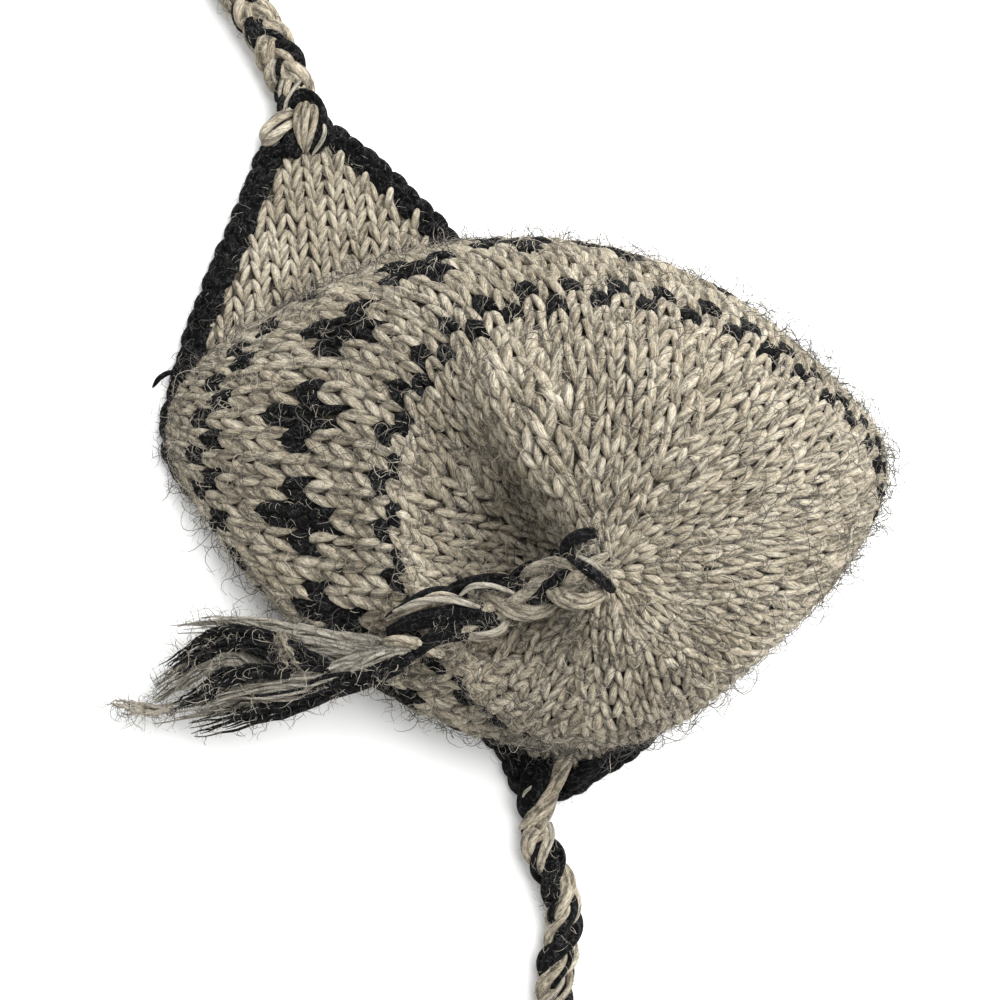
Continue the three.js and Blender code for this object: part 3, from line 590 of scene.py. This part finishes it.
# Points, half-widths, number of yarns and wool of the tassel's locks
TASSEL_LOCKS = (
    (((-23.5, -40.6, 43.6), (-30.7, -39.6, 40.2), (-42.9, -38.6, 32.0), (-55.4, -37.1, 25.4),
      (-70.0, -35.6, 19.3), (-81.8, -34.7, 15.2), (-92.8, -36.0, 12.1)),
     (1.4, 2.2, 3.0, 3.4, 2.8, 1.2), 20, PALE_YARN),
    (((-46.1, -45.5, 33.7), (-53.3, -43.4, 29.9), (-60.8, -40.6, 26.1), (-68.1, -38.9, 23.3),
      (-76.9, -38.6, 20.0), (-85.7, -42.1, 17.4), (-95.7, -48.3, 14.6)),
     (1.6, 3.2, 3.4, 3.0, 1.6), 22, BLACK),
    (((-60.8, -36.3, 28.5), (-57.9, -41.2, 29.8), (-54.5, -46.5, 31.6)),
     (1.2, 1.5, 1.3), 6, TAUPE),
    (((-55.4, -47.3, 25.4), (-66.5, -45.8, 20.6), (-75.9, -43.6, 17.1), (-84.5, -46.6, 14.4),
      (-93.1, -52.2, 12.0), (-100.5, -56.9, 10.3)),
     (1.4, 2.6, 3.4, 3.6, 1.6), 20, PALE_YARN),
    (((-56.1, -47.9, 28.8), (-66.6, -47.4, 24.4), (-75.4, -48.8, 21.1), (-80.9, -52.1, 19.2),
      (-87.1, -55.6, 17.5), (-92.7, -58.3, 15.9)),
     (1.0, 1.6, 1.7, 1.0), 9, BLACK),
    (((-23.5, -40.0, 45.1), (-30.0, -41.3, 42.1), (-42.8, -46.4, 33.5), (-52.9, -50.4, 28.2),
      (-70.1, -53.1, 20.7), (-84.5, -56.6, 15.8), (-99.3, -59.3, 12.0)),
     (1.6, 2.8, 3.4, 3.4, 1.6), 26, PALE_YARN),
    (((-22.3, -40.2, 46.5), (-26.1, -43.2, 44.9), (-35.9, -47.7, 39.1), (-46.2, -51.1, 32.7),
      (-56.3, -55.4, 27.3), (-70.0, -59.1, 21.7), (-80.0, -62.3, 18.1), (-88.2, -64.8, 15.8)),
     (1.3, 1.8, 2.4, 3.0, 2.0, 0.8), 20, BLACK),
    (((-93.2, -59.1, 11.4), (-99.0, -59.8, 10.2), (-104.6, -59.2, 9.2), (-111.0, -58.4, 8.0)),
     (0.7, 1.5, 1.3, 0.7), 7, PALE_HAIR),
)

# The body's fuzz: name, wool, how many, points each, lengths from and to, lean, hug and width
FUZZ = (
    ("short_pale_fuzz", PALE_HAIR, 5600, 6, 2.0, 5.5, 0.25, 1.2, 0.13),
    ("short_dark_fuzz", DARK_HAIR, 1700, 6, 2.0, 5.0, 0.25, 1.2, 0.12),
    ("long_pale_fuzz", PALE_HAIR, 1700, 12, 6.0, 15.0, 0.6, 0.20, 0.15),
    ("long_dark_fuzz", DARK_HAIR, 3600, 12, 7.0, 18.0, 0.9, 0.12, 0.19),
)
# Route, radius and number of hairs of each fuzzy cord
FUZZY_CORDS = ((TIE_A_ROUTE, 5.8, 260), (TIE_B_ROUTE, 5.0, 220), (CROWN_BRAID_ROUTE, 5.2, 700))
FLAP_HAIRS = 420  # on each flap and each edging


# Knitting


def knitted_legs(place, centres, rows, leans, widths, side, radius, sides=LEG_SIDES, dive=1.0):
    """One leg of each stitch's V, which points to the rim. It comes out at the V's foot, swells and goes in
    behind the stitch above. place turns fabric coordinates into points and outward directions. centres and
    widths are across the fabric, in its own units."""
    count = len(centres)
    rows, leans, widths, radius = (np.broadcast_to(value, count)[:, None]
                                   for value in (rows, leans, widths, radius))
    t = np.linspace(0, 1, LEG_POINTS)
    sway = random.normal(0, 0.03, (count, 1))
    across = centres[:, None] + leans * t + side * widths * (0.05 + sway + 0.43 * t ** 0.85)
    up = rows + LEG_START + random.normal(0, 0.07, (count, 1)) + LEG_ROWS * t
    points, normals = place(across, up)
    fat = radius * (1 + random.normal(0, 0.09, (count, 1)))
    radii = fat * (0.45 + 0.55 * np.sin(np.pi * (0.08 + 0.84 * t)) ** 0.8)
    foot = 1.1 * np.clip(1 - t / 0.3, 0, 1) ** 2
    head = 2.6 * np.clip((t - 0.55) / 0.45, 0, 1) ** 1.7
    depth = fat + dive * (foot + head) + random.normal(0, 0.2, (count, 1))
    lines = points - normals * depth[..., None]
    lines[..., 2] = np.maximum(lines[..., 2], FLOOR_GAP * radii)
    return yarn_tubes(lines, radii, normals, sides)


def stitch_columns():
    """For each row, the directions of its stitches, how far each leans towards the one above, its width
    and its number. Stitches merge in the crown's decreasing rounds."""
    directions = (np.arange(STITCHES) + 0.5) * 360 / STITCHES
    rounds = []
    for row in range(APEX_ROW):
        count = len(directions)
        spaced = np.concatenate([directions[-1:] - 360, directions, directions[:1] + 360])
        widths = (spaced[2:] - spaced[:-2]) / 2
        parents = np.arange(count)
        if row in DECREASE_ROWS and count > DECREASES:
            group = count // DECREASES
            place_in_group = parents % group
            parents = parents // group * (group - 1) + np.minimum(place_in_group, group - 2)
        above = np.bincount(parents, directions) / np.bincount(parents)
        if row >= WALL_ROWS:
            for _ in range(2):
                spread = np.concatenate([above[-1:] - 360, above, above[:1] + 360])
                above = 0.5 * above + 0.25 * (spread[2:] + spread[:-2])
        rounds.append((directions, above[parents] - directions, widths))
        directions = above
    return rounds


def is_black(row, numbers):
    """The colour chart: two checker bands and a round of plus motifs between them."""
    if row in (2, 11):
        return numbers % 2 == 0
    if row in (3, 12):
        return numbers % 2 == 1
    from_centre = (numbers - 34) % 4
    if row in (6, 8):
        return from_centre == 0
    if row == 7:
        return from_centre != 2
    return np.zeros(len(numbers), bool)


def place_on_hat(direction, row):
    row = np.clip(row, 0.25, APEX_ROW - 0.05)
    return fabric_point(direction, row), fabric_normal(direction, row)


def knit_body():
    """The outside of the hat's body, in three pieces. The black yarn is a little thicker, and a few
    stitches are slubs."""
    rounds = stitch_columns()
    slubs = np.array(SLUBS)
    for name, first, last in BODY_PIECES:
        pile = Pile()
        for row in range(first, last):
            directions, leans, widths = rounds[row]
            size = fabric_point(directions + 1, row + 0.5) - fabric_point(directions - 1, row + 0.5)
            radius = np.clip(0.25 * np.linalg.norm(size, axis=1) / 2 * widths, 1.2, 1.8)
            middle = fabric_point(directions, row + 0.5)
            away = np.linalg.norm(middle[:, None, :2] - slubs[None, :, :2], axis=2).min(axis=1)
            radius = radius * (1 + 0.4 * np.exp(-(away / 2.6) ** 2) * (middle[:, 2] > 35))
            black = is_black(row, np.arange(len(directions)))
            for wool, chosen, fullness in ((TAUPE, ~black, 1.0), (BLACK, black, 1.12)):
                if not chosen.any():
                    continue
                for side in (-1, 1):
                    pile.add(knitted_legs(place_on_hat, directions[chosen], row, leans[chosen],
                                          widths[chosen], side, fullness * radius[chosen]), wool)
        pile.build(name, "natural_wool", "crown_shell")


def grid_triangles(rows, columns, wrap):
    """Triangles of a grid of rows by columns of points, closed round each row if wrap is set."""
    across = columns if wrap else columns - 1
    r, c = np.divmod(np.arange((rows - 1) * across), across)
    a = r * columns + c
    b = r * columns + (c + 1) % columns
    return np.concatenate([corners(a, b, b + columns), corners(a, b + columns, a + columns)])


def purl_ridges(stitch, row):
    """Heights from 0 to 1 of the ridges on the back of the knitting."""
    wave = np.cos(2 * np.pi * stitch)
    return (0.5 + 0.5 * np.cos(2 * np.pi * (row + 0.22 * wave))) ** 1.5


def knit_inside():
    """The inside of the body, with its purl ridges, and the ground behind the stitches, coloured dark as
    painted shade in the gaps between them.
    """
    columns = STITCHES * 3
    direction = np.arange(columns) * 360 / columns
    inner_rows = np.linspace(APEX_ROW - 1.0, 0.0, 92)
    rings = []
    for row in inner_rows:
        fade = np.clip((APEX_ROW - row) / 6, 0, 1)
        groove = 0.9 * (1 - purl_ridges(direction * STITCHES / 360, row)) * fade
        rings.append(inside_point(direction, row, WALL - groove))
    for row in np.linspace(0.0, APEX_ROW - 0.2, 44):
        rings.append(inside_point(direction, row, GROUND_DEPTH))
    points = np.concatenate(rings)
    rows = len(rings)
    spot = np.arange(columns)
    following = (spot + 1) % columns
    last = (rows - 1) * columns
    inner_cap = corners(following, spot, rows * columns)
    outer_cap = corners(last + spot, last + following, rows * columns + 1)
    walls = grid_triangles(rows, columns, True)
    is_inner = walls.min(axis=1) // columns < len(inner_rows)
    triangles = np.concatenate([inner_cap, walls[is_inner], walls[~is_inner], outer_cap])
    points = np.concatenate([points, [points[:columns].mean(axis=0), points[-columns:].mean(axis=0)]])
    lines = np.concatenate([np.repeat(np.arange(rows) * 1.4, columns), [0, rows * 1.4]])
    around = np.concatenate([np.tile(direction * 1.2, rows), [0, 0]])
    coordinates = np.stack([around[triangles], lines[triangles]], axis=-1).reshape(-1, 2)
    pile = Pile()
    # The inside rings are taupe wool; the ground behind the stitches takes the dark wool of painted shade.
    pile.add((points, triangles, coordinates), TAUPE, PAINTED_SHADE_GROUND, columns + is_inner.sum())
    pile.build("inside_of_body", "natural_wool", "crown_shell")


def flap_frame(flap):
    """A flap's tip, its direction towards the hat, the direction across it and its length."""
    base, to_tip, _ = flap_axes(flap)
    towards_hat = -unit(to_tip)
    across = np.array([-towards_hat[1], towards_hat[0], 0])
    return base + to_tip, towards_hat, across, float(np.linalg.norm(to_tip))


def flap_spot(flap, from_tip, side_mm):
    """Points on a flap, at distances from its tip and to the side."""
    tip, towards_hat, across, _ = flap_frame(flap)
    return tip + from_tip[..., None] * towards_hat + side_mm[..., None] * across


def flap_bounds(flap, from_tip):
    """Where a flap's fabric ends on each side, at distances from its tip."""
    tip, towards_hat, across, _ = flap_frame(flap)
    limits = []
    for side in (-1, 1):
        base_corner = flap_point(flap, 0.0, float(side))
        line = smooth_curve([base_corner] + flap_side_points(flap, side), 60)[::-1] - tip
        distance = line @ towards_hat
        limits.append(np.interp(from_tip, distance, line @ across))
    low, high = np.minimum(*limits), np.maximum(*limits)
    inset = EDGING_WIDTH / 2 + CLEARANCE
    return low + inset, high - inset


def knit_flap(name, node, flap):
    """A flap's stitches, which point to its tip, on a pad with purl ridges below."""

    def place(side_mm, row):
        from_tip = row * FLAP_ROW_HEIGHT
        low, high = flap_bounds(flap, from_tip)
        edge = np.minimum(side_mm - low, high - side_mm)
        points = flap_spot(flap, from_tip, side_mm)
        points[..., 2] = FLAP_THICKNESS - 1.5 * np.exp(-np.maximum(edge, 0) / 1.8)
        return points, UP

    pile = Pile()
    for row in range(int(flap_frame(flap)[3] / FLAP_ROW_HEIGHT) + 2):
        low, high = flap_bounds(flap, (row + 0.5) * FLAP_ROW_HEIGHT)
        centres = np.arange(-12, 13) * FLAP_STITCH_WIDTH
        centres = centres[(centres > low + 0.6) & (centres < high - 0.6)]
        if len(centres) == 0:
            centres = np.array([(low + high) / 2])
        for side in (-1, 1):
            pile.add(knitted_legs(place, centres, row, 0, FLAP_STITCH_WIDTH, side, FLAP_YARN_RADIUS,
                                  dive=0.4), TAUPE)
    # The pad takes the dark wool that paints the shade between the stitches.
    pile.add(flap_pad(flap), PAINTED_SHADE_GROUND)
    return pile.build(name, "natural_wool", node)


def flap_pad(flap):
    """The ground behind a flap's stitches, dark as painted shade between them; its underside has purl ridges
    and lies on the surface.
    """
    from_tip = np.linspace(1.0, flap_frame(flap)[3] + 4, 66)
    low, high = flap_bounds(flap, from_tip)
    side_mm = low[:, None] + (high - low)[:, None] * np.linspace(0, 1, 48)
    reach = np.broadcast_to(from_tip[:, None], side_mm.shape)
    ridges = purl_ridges(side_mm / FLAP_STITCH_WIDTH, reach / FLAP_ROW_HEIGHT)
    lower, upper = flap_spot(flap, reach, side_mm), flap_spot(flap, reach, side_mm)
    lower[..., 2] = 0.05 + 0.8 * (1 - ridges)
    upper[..., 2] = 2.0
    rows, columns = side_mm.shape
    points = np.concatenate([lower.reshape(-1, 3), upper.reshape(-1, 3)])
    sheet = grid_triangles(rows, columns, False)
    edge = np.concatenate([np.arange(columns - 1), np.arange(columns - 1, rows * columns - 1, columns),
                           np.arange(rows * columns - 1, (rows - 1) * columns, -1),
                           np.arange((rows - 1) * columns, 0, -columns)])
    following = np.roll(edge, -1)
    above = rows * columns
    triangles = np.concatenate([sheet, sheet[:, ::-1] + above,
                                corners(following + above, following, edge),
                                corners(edge + above, following + above, edge)])
    flat = corners(np.tile(side_mm.ravel(), 2), np.tile(reach.ravel(), 2))
    return points, triangles, flat[triangles].reshape(-1, 2)


def crochet_edging(name, node, side, extras):
    """The black edging: four columns of small stitches round a flattened rope, with extra yarns."""
    stitches = int(length_of(edging_line(side, 60)) / EDGING_STITCH)
    line = edging_line(side, stitches * 6 + 1)
    index = np.arange(len(line))
    tangents = unit(np.gradient(line, axis=0))
    half_width = EDGING_WIDTH / 2 + EDGING_FLUFF
    half_height = EDGING_HEIGHT / 2 - 0.2

    def place(angle, row):
        spot = np.clip(row / stitches, 0, 1) * index[-1]
        forward = unit(read_line(tangents, index, spot))
        aside = np.stack([forward[..., 1], -forward[..., 0], 0 * spot], axis=-1)
        turn = np.radians(angle)[..., None]
        reach = aside * np.sin(turn) * half_width + UP * np.cos(turn) * half_height
        normals = unit(aside * np.sin(turn) * half_height + UP * np.cos(turn) * half_width)
        return read_line(line, index, spot) + reach, normals

    pile = Pile()
    for column in range(4):
        angles = np.full(stitches, 20.0 + 90 * column)
        rows = np.arange(stitches) + 0.25 * column
        for leg_side in (-1, 1):
            pile.add(knitted_legs(place, angles, rows, 0, 90, leg_side, 1.3, 6), BLACK)
    pile.add_yarn(line, 1.7, UP, BLACK, LEG_SIDES)
    for points, radius, wool in extras:
        yarn_along(pile, points, radius, wool)
    return pile.build(name, "black_wool", node)


def flap_tips():
    """Taupe stitch ends that poke over the edging on flap a's east side, as points, radius and wool."""
    return [(((x - 0.8, y - 4.2, 2.8), (x - 0.2, y - 1.2, 5.3), (x + 0.3, y + 1.9, 4.8)), 1.2, TAUPE)
            for x, y in FLAP_TIPS]


# Cords


def yarn_along(pile, points, radius, wool, count=22):
    """Adds one yarn along a short list of points, thinner at both ends."""
    line = smooth_curve(points, count)
    t = np.linspace(0, 1, count)
    radii = radius * (1 - 0.7 * np.abs(2 * t - 1) ** 6)
    line[:, 2] = np.maximum(line[:, 2], FLOOR_GAP * radii)
    pile.add_yarn(line, radii, unit(np.array([0.05, 0.02, 1.0])), wool)


def braid(name, node, route, diameter, pitch, strands, twisted=False):
    """Three strands, braided flat or twisted like a rope, each a bundle of yarns. strands gives each
    strand's share of the pitch at the start, and its yarns' wool and thickness."""
    middle = smooth_curve(route, 96)
    sides = line_sides(middle)
    along = np.linspace(0, length_of(middle), len(middle))
    pile = Pile()
    for share, yarns in strands:
        phase = 2 * np.pi * (along / pitch + share)
        height = np.cos(phase) if twisted else -np.sin(2 * phase)
        strand = offset(middle, sides, 0.27 * diameter * np.sin(phase), 0.18 * diameter * height)
        strand_sides = line_sides(strand, sides[1])
        for number, (wool, thickness) in enumerate(yarns):
            spin = 2 * np.pi * (along / (3.1 * pitch) + number / len(yarns) + share)
            wander = 0.18 * np.sin(along / random.uniform(2.4, 4.5) + random.uniform(0, 6))
            line = offset(strand, strand_sides, 0.155 * diameter * np.cos(spin) + wander,
                          0.10 * diameter * np.sin(spin))
            radii = 0.125 * diameter * thickness * (1 + 0.07 * np.sin(along / 2.7 + 5 * number))
            line[:, 2] = np.maximum(line[:, 2], FLOOR_GAP * radii)
            pile.add_yarn(line, radii, strand_sides[1], wool, 8)
    return pile.build(name, "mixed_wool", node), middle


def crown_braid():
    """The braid sewn into the apex, lobe by lobe round a core of three yarns, and its middle line. What lies
    past the middle line's ends, at the apex and where the tassel starts, is a second piece."""
    middle = smooth_curve(CROWN_BRAID_ROUTE, 96)
    sides = line_sides(middle)
    along = np.linspace(0, length_of(middle), len(middle))
    cord, ends = Pile(), Pile()
    for number, wool in enumerate((TAUPE, TAUPE, BLACK)):
        spin = 2 * np.pi * (along / 40 + number / 3 + 0.1)
        core = offset(middle, sides, 1.7 * np.cos(spin), 1.7 * np.sin(spin))
        cord.add_yarn(core, 2.1 * np.clip(0.35 + along / 10, 0, 1), sides[1], wool)
    t = np.linspace(0, 1, 30)
    swell = 0.62 + 0.5 * np.sin(np.pi * t) ** 0.6
    for wools, width, points in CROWN_LOBES:
        guide = smooth_curve(points, len(t))
        guide_sides = line_sides(guide)
        count = len(wools)
        radius = width / (2 + 1.25 * (count - 1)) * (1.06 if count > 1 else 1.12)
        for number, wool in enumerate(wools):
            place = (number - (count - 1) / 2) * 1.25 * radius
            spin = 0.9 * np.sin(2.2 * t + number)
            line = offset(guide, guide_sides, place * swell * np.cos(spin),
                          0.5 * place * np.sin(spin) - 0.12 * abs(place))
            distance = np.linalg.norm(line[:, None] - middle[None], axis=2).min(axis=1)
            near = np.flatnonzero(distance < CROWN_BRAID_DIAMETER / 2)
            final = len(t) - 1
            cuts = (near[0], near[-1]) if len(near) > 3 else (final, final)
            for pile, first, last in ((ends, 0, cuts[0]), (cord, *cuts), (ends, cuts[1], final)):
                if last - first > 1:
                    part = slice(first, last + 1)
                    pile.add_yarn(line[part], (radius * swell)[part], guide_sides[1][part], wool)
    return (cord.build("crown_braid_yarns", "mixed_wool", "crown_braid"),
            ends.build("crown_braid_ends", "mixed_wool", "crown_braid"), middle)


def tie_root(name, node, yarns):
    """The yarns looped through a flap's tip, where its tie starts."""
    pile = Pile()
    for wool, radius, points in yarns:
        yarn_along(pile, points, radius, wool)
    return pile.build(name, "mixed_wool", node)


def tie_end(name, node, route, diameter):
    """A tie's end: its yarns tied in a knot, then loose."""
    last, before = np.array(route[-1]), np.array(route[-2])
    onward = unit((last - before) * [1, 1, 0])
    aside = np.array([-onward[1], onward[0], 0])
    centre = last + onward * (KNOT_DIAMETER / 2 + CLEARANCE)
    centre[2] = diameter / 2 + CLEARANCE
    pile = Pile()
    turn = np.linspace(0, 2 * np.pi, 40)
    for number, wool in enumerate((TAUPE, BLACK, TAUPE)):
        tilt = np.radians(-35 + 35 * number)
        reach = 0.29 * KNOT_DIAMETER
        ring = (centre + np.outer(np.cos(turn), aside) * reach
                + np.outer(np.sin(turn), onward * np.sin(tilt)) * reach
                + np.outer(np.sin(turn), [0, 0, np.cos(tilt)]) * 0.27 * diameter
                + onward * (number - 1) * 2.6)
        pile.add_yarn(ring, 0.17 * diameter, onward, wool)
    for number in range(16):
        spread = random.uniform(-1, 1)
        start = centre + aside * spread * 2 + [0, 0, random.uniform(-1, 1)]
        middle = centre + onward * 13 + aside * spread * 4.5
        middle[2] = random.uniform(2, 5)
        end = centre + onward * random.uniform(22, 27) + aside * spread * 6
        end[2] = random.uniform(1, 2.4)
        yarn_along(pile, [start, middle, end], 0.95, BLACK if number % 3 == 0 else TAUPE, 14)
    return pile.build(name, "mixed_wool", node)


# Tassel


def lock_lines(points, widths, count, steps, wander):
    """Lines of a lock's yarns, spread over its width: (yarn, point, xyz)."""
    guide = smooth_curve(points, 80)
    share = np.linspace(0, 1, 80)
    t = np.linspace(0, 1, steps)
    starts = random.uniform(0, 0.1, (count, 1))
    ends = random.uniform(0.8, 1.0, (count, 1))
    reach = starts + (ends - starts) * t
    lines = read_line(guide, share, reach)
    across = read_line(line_sides(guide)[0], share, reach)
    half = np.interp(reach, np.linspace(0, 1, len(widths)), widths)
    angle = random.uniform(0, 2 * np.pi, (count, 1))
    radius = np.sqrt(random.uniform(0, 1, (count, 1)))
    drift = random.normal(0, 0.14, (count, 2, 1)) * (t - 0.3)
    waves = wander * np.sin(random.uniform(5, 16, (count, 2, 1)) * t + random.uniform(0, 6, (count, 2, 1)))
    lines = lines + across * (half * (radius * np.cos(angle) + drift[:, 0]) + waves[:, 0])[..., None]
    lines[..., 2] += 0.75 * half * (radius * np.sin(angle) + drift[:, 1]) + 0.7 * waves[:, 1]
    lines[..., 2] = np.maximum(lines[..., 2], 1.0)
    return lines


def tassel():
    """The crown's tassel: locks of fine loose yarn with frizzy hairs round them."""
    yarns, hairs = Pile(), Pile()
    t = np.linspace(0, 1, 26)
    for points, widths, count, wool in TASSEL_LOCKS:
        lines = lock_lines(points, widths, count, len(t), 0.35)
        lines = lines + np.cumsum(random.normal(0, 0.22, lines.shape), axis=1)
        lines[..., 2] = np.maximum(lines[..., 2], 1.0)
        radii = np.broadcast_to(0.74 * (1 - 0.85 * t ** 3), lines.shape[:2])
        yarns.add(yarn_tubes(lines, radii, UP, 5), wool)
        other = DARK_HAIR if wool != BLACK else PALE_HAIR
        for hair, per_yarn, low, high in ((other, 6, 4, 11), (wool, 8, 3, 9), (DARK_HAIR, 4, 4, 12)):
            amount = per_yarn * count
            yarn = random.integers(0, count, amount)
            place = random.integers(1, len(t), amount)
            away = unit(random.normal(0, 1, (amount, 3)) + [-0.5, 0.0, 0.5])
            curly_fibres(hairs, hair, lines[yarn, place] + 0.5 * UP, away, 11, low, high, 0.5, 0.15, 0.15)
    return [yarns.build("tassel_locks", "mixed_wool", "crown_tassel"),
            hairs.build("tassel_hairs", "mixed_wool")]


# Stray fibres


def hair_slips(lines, width):
    """Thin flat fibres along rows of points (fibre, point, xyz)."""
    fibres, steps = lines.shape[:2]
    facing = unit(random.normal(0, 1, (fibres, 1, 3)) + [0.0, 0.0, 1.4])
    aside = unit(np.cross(unit(np.gradient(lines, axis=1)), facing)) * (width / 2)
    aside = aside * (1 - 0.6 * np.linspace(0, 1, steps)[:, None] ** 3)
    points = np.stack([lines - aside, lines + aside], axis=2).reshape(-1, 3)
    step = 2 * np.arange(steps - 1)
    one = np.concatenate([corners(step, step + 1, step + 3), corners(step, step + 3, step + 2)])
    triangles = (one[None] + (np.arange(fibres) * 2 * steps)[:, None, None]).reshape(-1, 3)
    coordinates = np.stack([triangles // 2 * 0.7, triangles % 2 * 1.0], axis=-1).reshape(-1, 2)
    return points, triangles, coordinates


def curly_fibres(pile, wool, roots, normals, steps, low, high, lean, hug, width):
    """Adds thin fibres that wander from their roots. low and high are their lengths, lean raises them from
    the surface, and hug draws them back to it."""
    count = len(roots)
    length = random.uniform(low, high, (count, 1)) / (steps - 1)
    heading = unit(random.normal(0, 1, (count, 3)) + lean * normals)
    turning = random.normal(0, 0.5, (count, 3))
    line = [roots]
    for _ in range(steps - 1):
        height = ((line[-1] - roots) * normals).sum(axis=1, keepdims=True)
        turning = 0.7 * turning + random.normal(0, 0.4, (count, 3))
        heading = unit(heading + turning - hug * height * normals)
        line.append(line[-1] + heading * length)
    lines = np.stack(line, axis=1)
    lines[..., 2] = np.maximum(lines[..., 2], 0.15)
    pile.add(hair_slips(lines, width), wool)


def hat_fibres():
    """The fuzz of the hat's body: short hairs close to the wool and longer curly ones."""
    for name, wool, count, *look in FUZZ:
        direction = random.uniform(0, 360, count)
        row = APEX_ROW * (1 - np.sqrt(random.uniform(0.01, 1, count)))
        points, normals = place_on_hat(direction, row)
        pile = Pile()
        curly_fibres(pile, wool, points + 0.1 * normals, normals, *look)
        pile.build(name, "natural_wool")


def fluff_cord(pile, line, reach, count, sweep, *look):
    """Adds fibres to the upper side of a cord, pale and dark ones by turns."""
    place = random.integers(0, len(line), count)
    aside = line_sides(line)[0][place]
    angle = random.uniform(-sweep * np.pi, sweep * np.pi, (count, 1))
    normals = aside * np.sin(angle) + UP * np.cos(angle)
    roots = line[place] + normals * reach
    for first, wool in enumerate((PALE_HAIR, DARK_HAIR)):
        curly_fibres(pile, wool, roots[first::2], normals[first::2], *look)


def cord_fibres():
    """The fuzz of the ties, the crown braid, the edging and the flaps."""
    pile = Pile()
    for route, radius, count in FUZZY_CORDS:
        fluff_cord(pile, smooth_curve(route, 200), [radius, radius, 0.72 * radius], count, 0.5,
                   7, 2.5, 8, 0.5, 0.6, 0.11)
    for side in EDGED_RIM:
        fluff_cord(pile, edging_line(side, 300), [4.2, 4.2, 2.4], FLAP_HAIRS, 0.55, 6, 2, 6, 0.5, 0.5, 0.085)
    for flap in FLAPS.values():
        from_tip = random.uniform(0, flap_frame(flap)[3], FLAP_HAIRS)
        low, high = flap_bounds(flap, from_tip)
        side_mm = low + (high - low) * random.uniform(0, 1, FLAP_HAIRS)
        roots = flap_spot(flap, from_tip, side_mm) + FLAP_THICKNESS * UP
        curly_fibres(pile, PALE_HAIR, roots, UP, 5, 1.5, 4.5, 0.4, 0.9, 0.085)
    pile.build("cord_fuzz", "mixed_wool")


# Surroundings


def add_camera():
    """A camera straight above the drawing frame's origin."""
    data = bpy.data.cameras.new("camera")
    data.lens = data.sensor_width * CAMERA_HEIGHT / VIEW_WIDTH
    camera = add_object("camera", data)
    camera.location = (DRAWING_SHIFT + CAMERA_HEIGHT * UP) * MM
    bpy.context.scene.camera = camera


def add_surroundings():
    """A pale floor, an even white sky and one large soft lamp from the right."""
    mesh = bpy.data.meshes.new("floor")
    mesh.from_pydata([(-3, -3, 0), (3, -3, 0), (3, 3, 0), (-3, 3, 0)], [], [(0, 1, 2, 3)])
    material = bpy.data.materials.new("pale_floor")
    material.use_nodes = True
    shader = material.node_tree.nodes["Principled BSDF"]
    shader.inputs["Base Color"].default_value = (0.96, 0.96, 0.95, 1)
    shader.inputs["Roughness"].default_value = 0.9
    mesh.materials.append(material)
    add_object("floor", mesh)

    world = bpy.data.worlds.new("sky")
    world.use_nodes = True
    sky = world.node_tree.nodes["Background"]
    sky.inputs["Color"].default_value = (1, 1, 1, 1)
    sky.inputs["Strength"].default_value = 0.66
    bpy.context.scene.world = world

    data = bpy.data.lights.new("soft_lamp", "AREA")
    data.size = 0.9
    data.energy = 21
    lamp = add_object("soft_lamp", data)
    lamp.location = (0.45, 0.36, 0.82)
    lamp.rotation_euler = lamp.location.to_track_quat("Z", "Y").to_euler()
    bpy.context.scene.view_settings.view_transform = "Standard"


add_camera()
add_surroundings()

root_a = tie_root("tie_a_root", "tie_a_loops", TIE_A_ROOT)
knot_a = tie_end("tie_a_knot", "tie_a_end", TIE_A_ROUTE, TIE_A_DIAMETER)
tie_a, middle = braid("tie_a_braid", "tie_a", TIE_A_ROUTE, TIE_A_DIAMETER, 19.5, TIE_A_STRANDS)

root_b = tie_root("tie_b_root", "tie_b_loops", TIE_B_ROOT)
knot_b = tie_end("tie_b_knot", "tie_b_end", TIE_B_ROUTE, TIE_B_DIAMETER)
tie_b, middle = braid("tie_b_braid", "tie_b", TIE_B_ROUTE, TIE_B_DIAMETER, 21.4, TIE_B_STRANDS, twisted=True)

tassel_pieces = tassel()
crown, crown_ends, middle = crown_braid()

knit_body()
knit_inside()
knit_flap("flap_a_knit", "ear_flap_a", FLAPS["a"])
knit_flap("flap_b_knit", "ear_flap_b", FLAPS["b"])
crochet_edging("edging_west_crochet", "edging_west", -1, LOOSE_RIM_YARN)
crochet_edging("edging_east_crochet", "edging_east", 1, flap_tips())
hat_fibres()
cord_fibres()
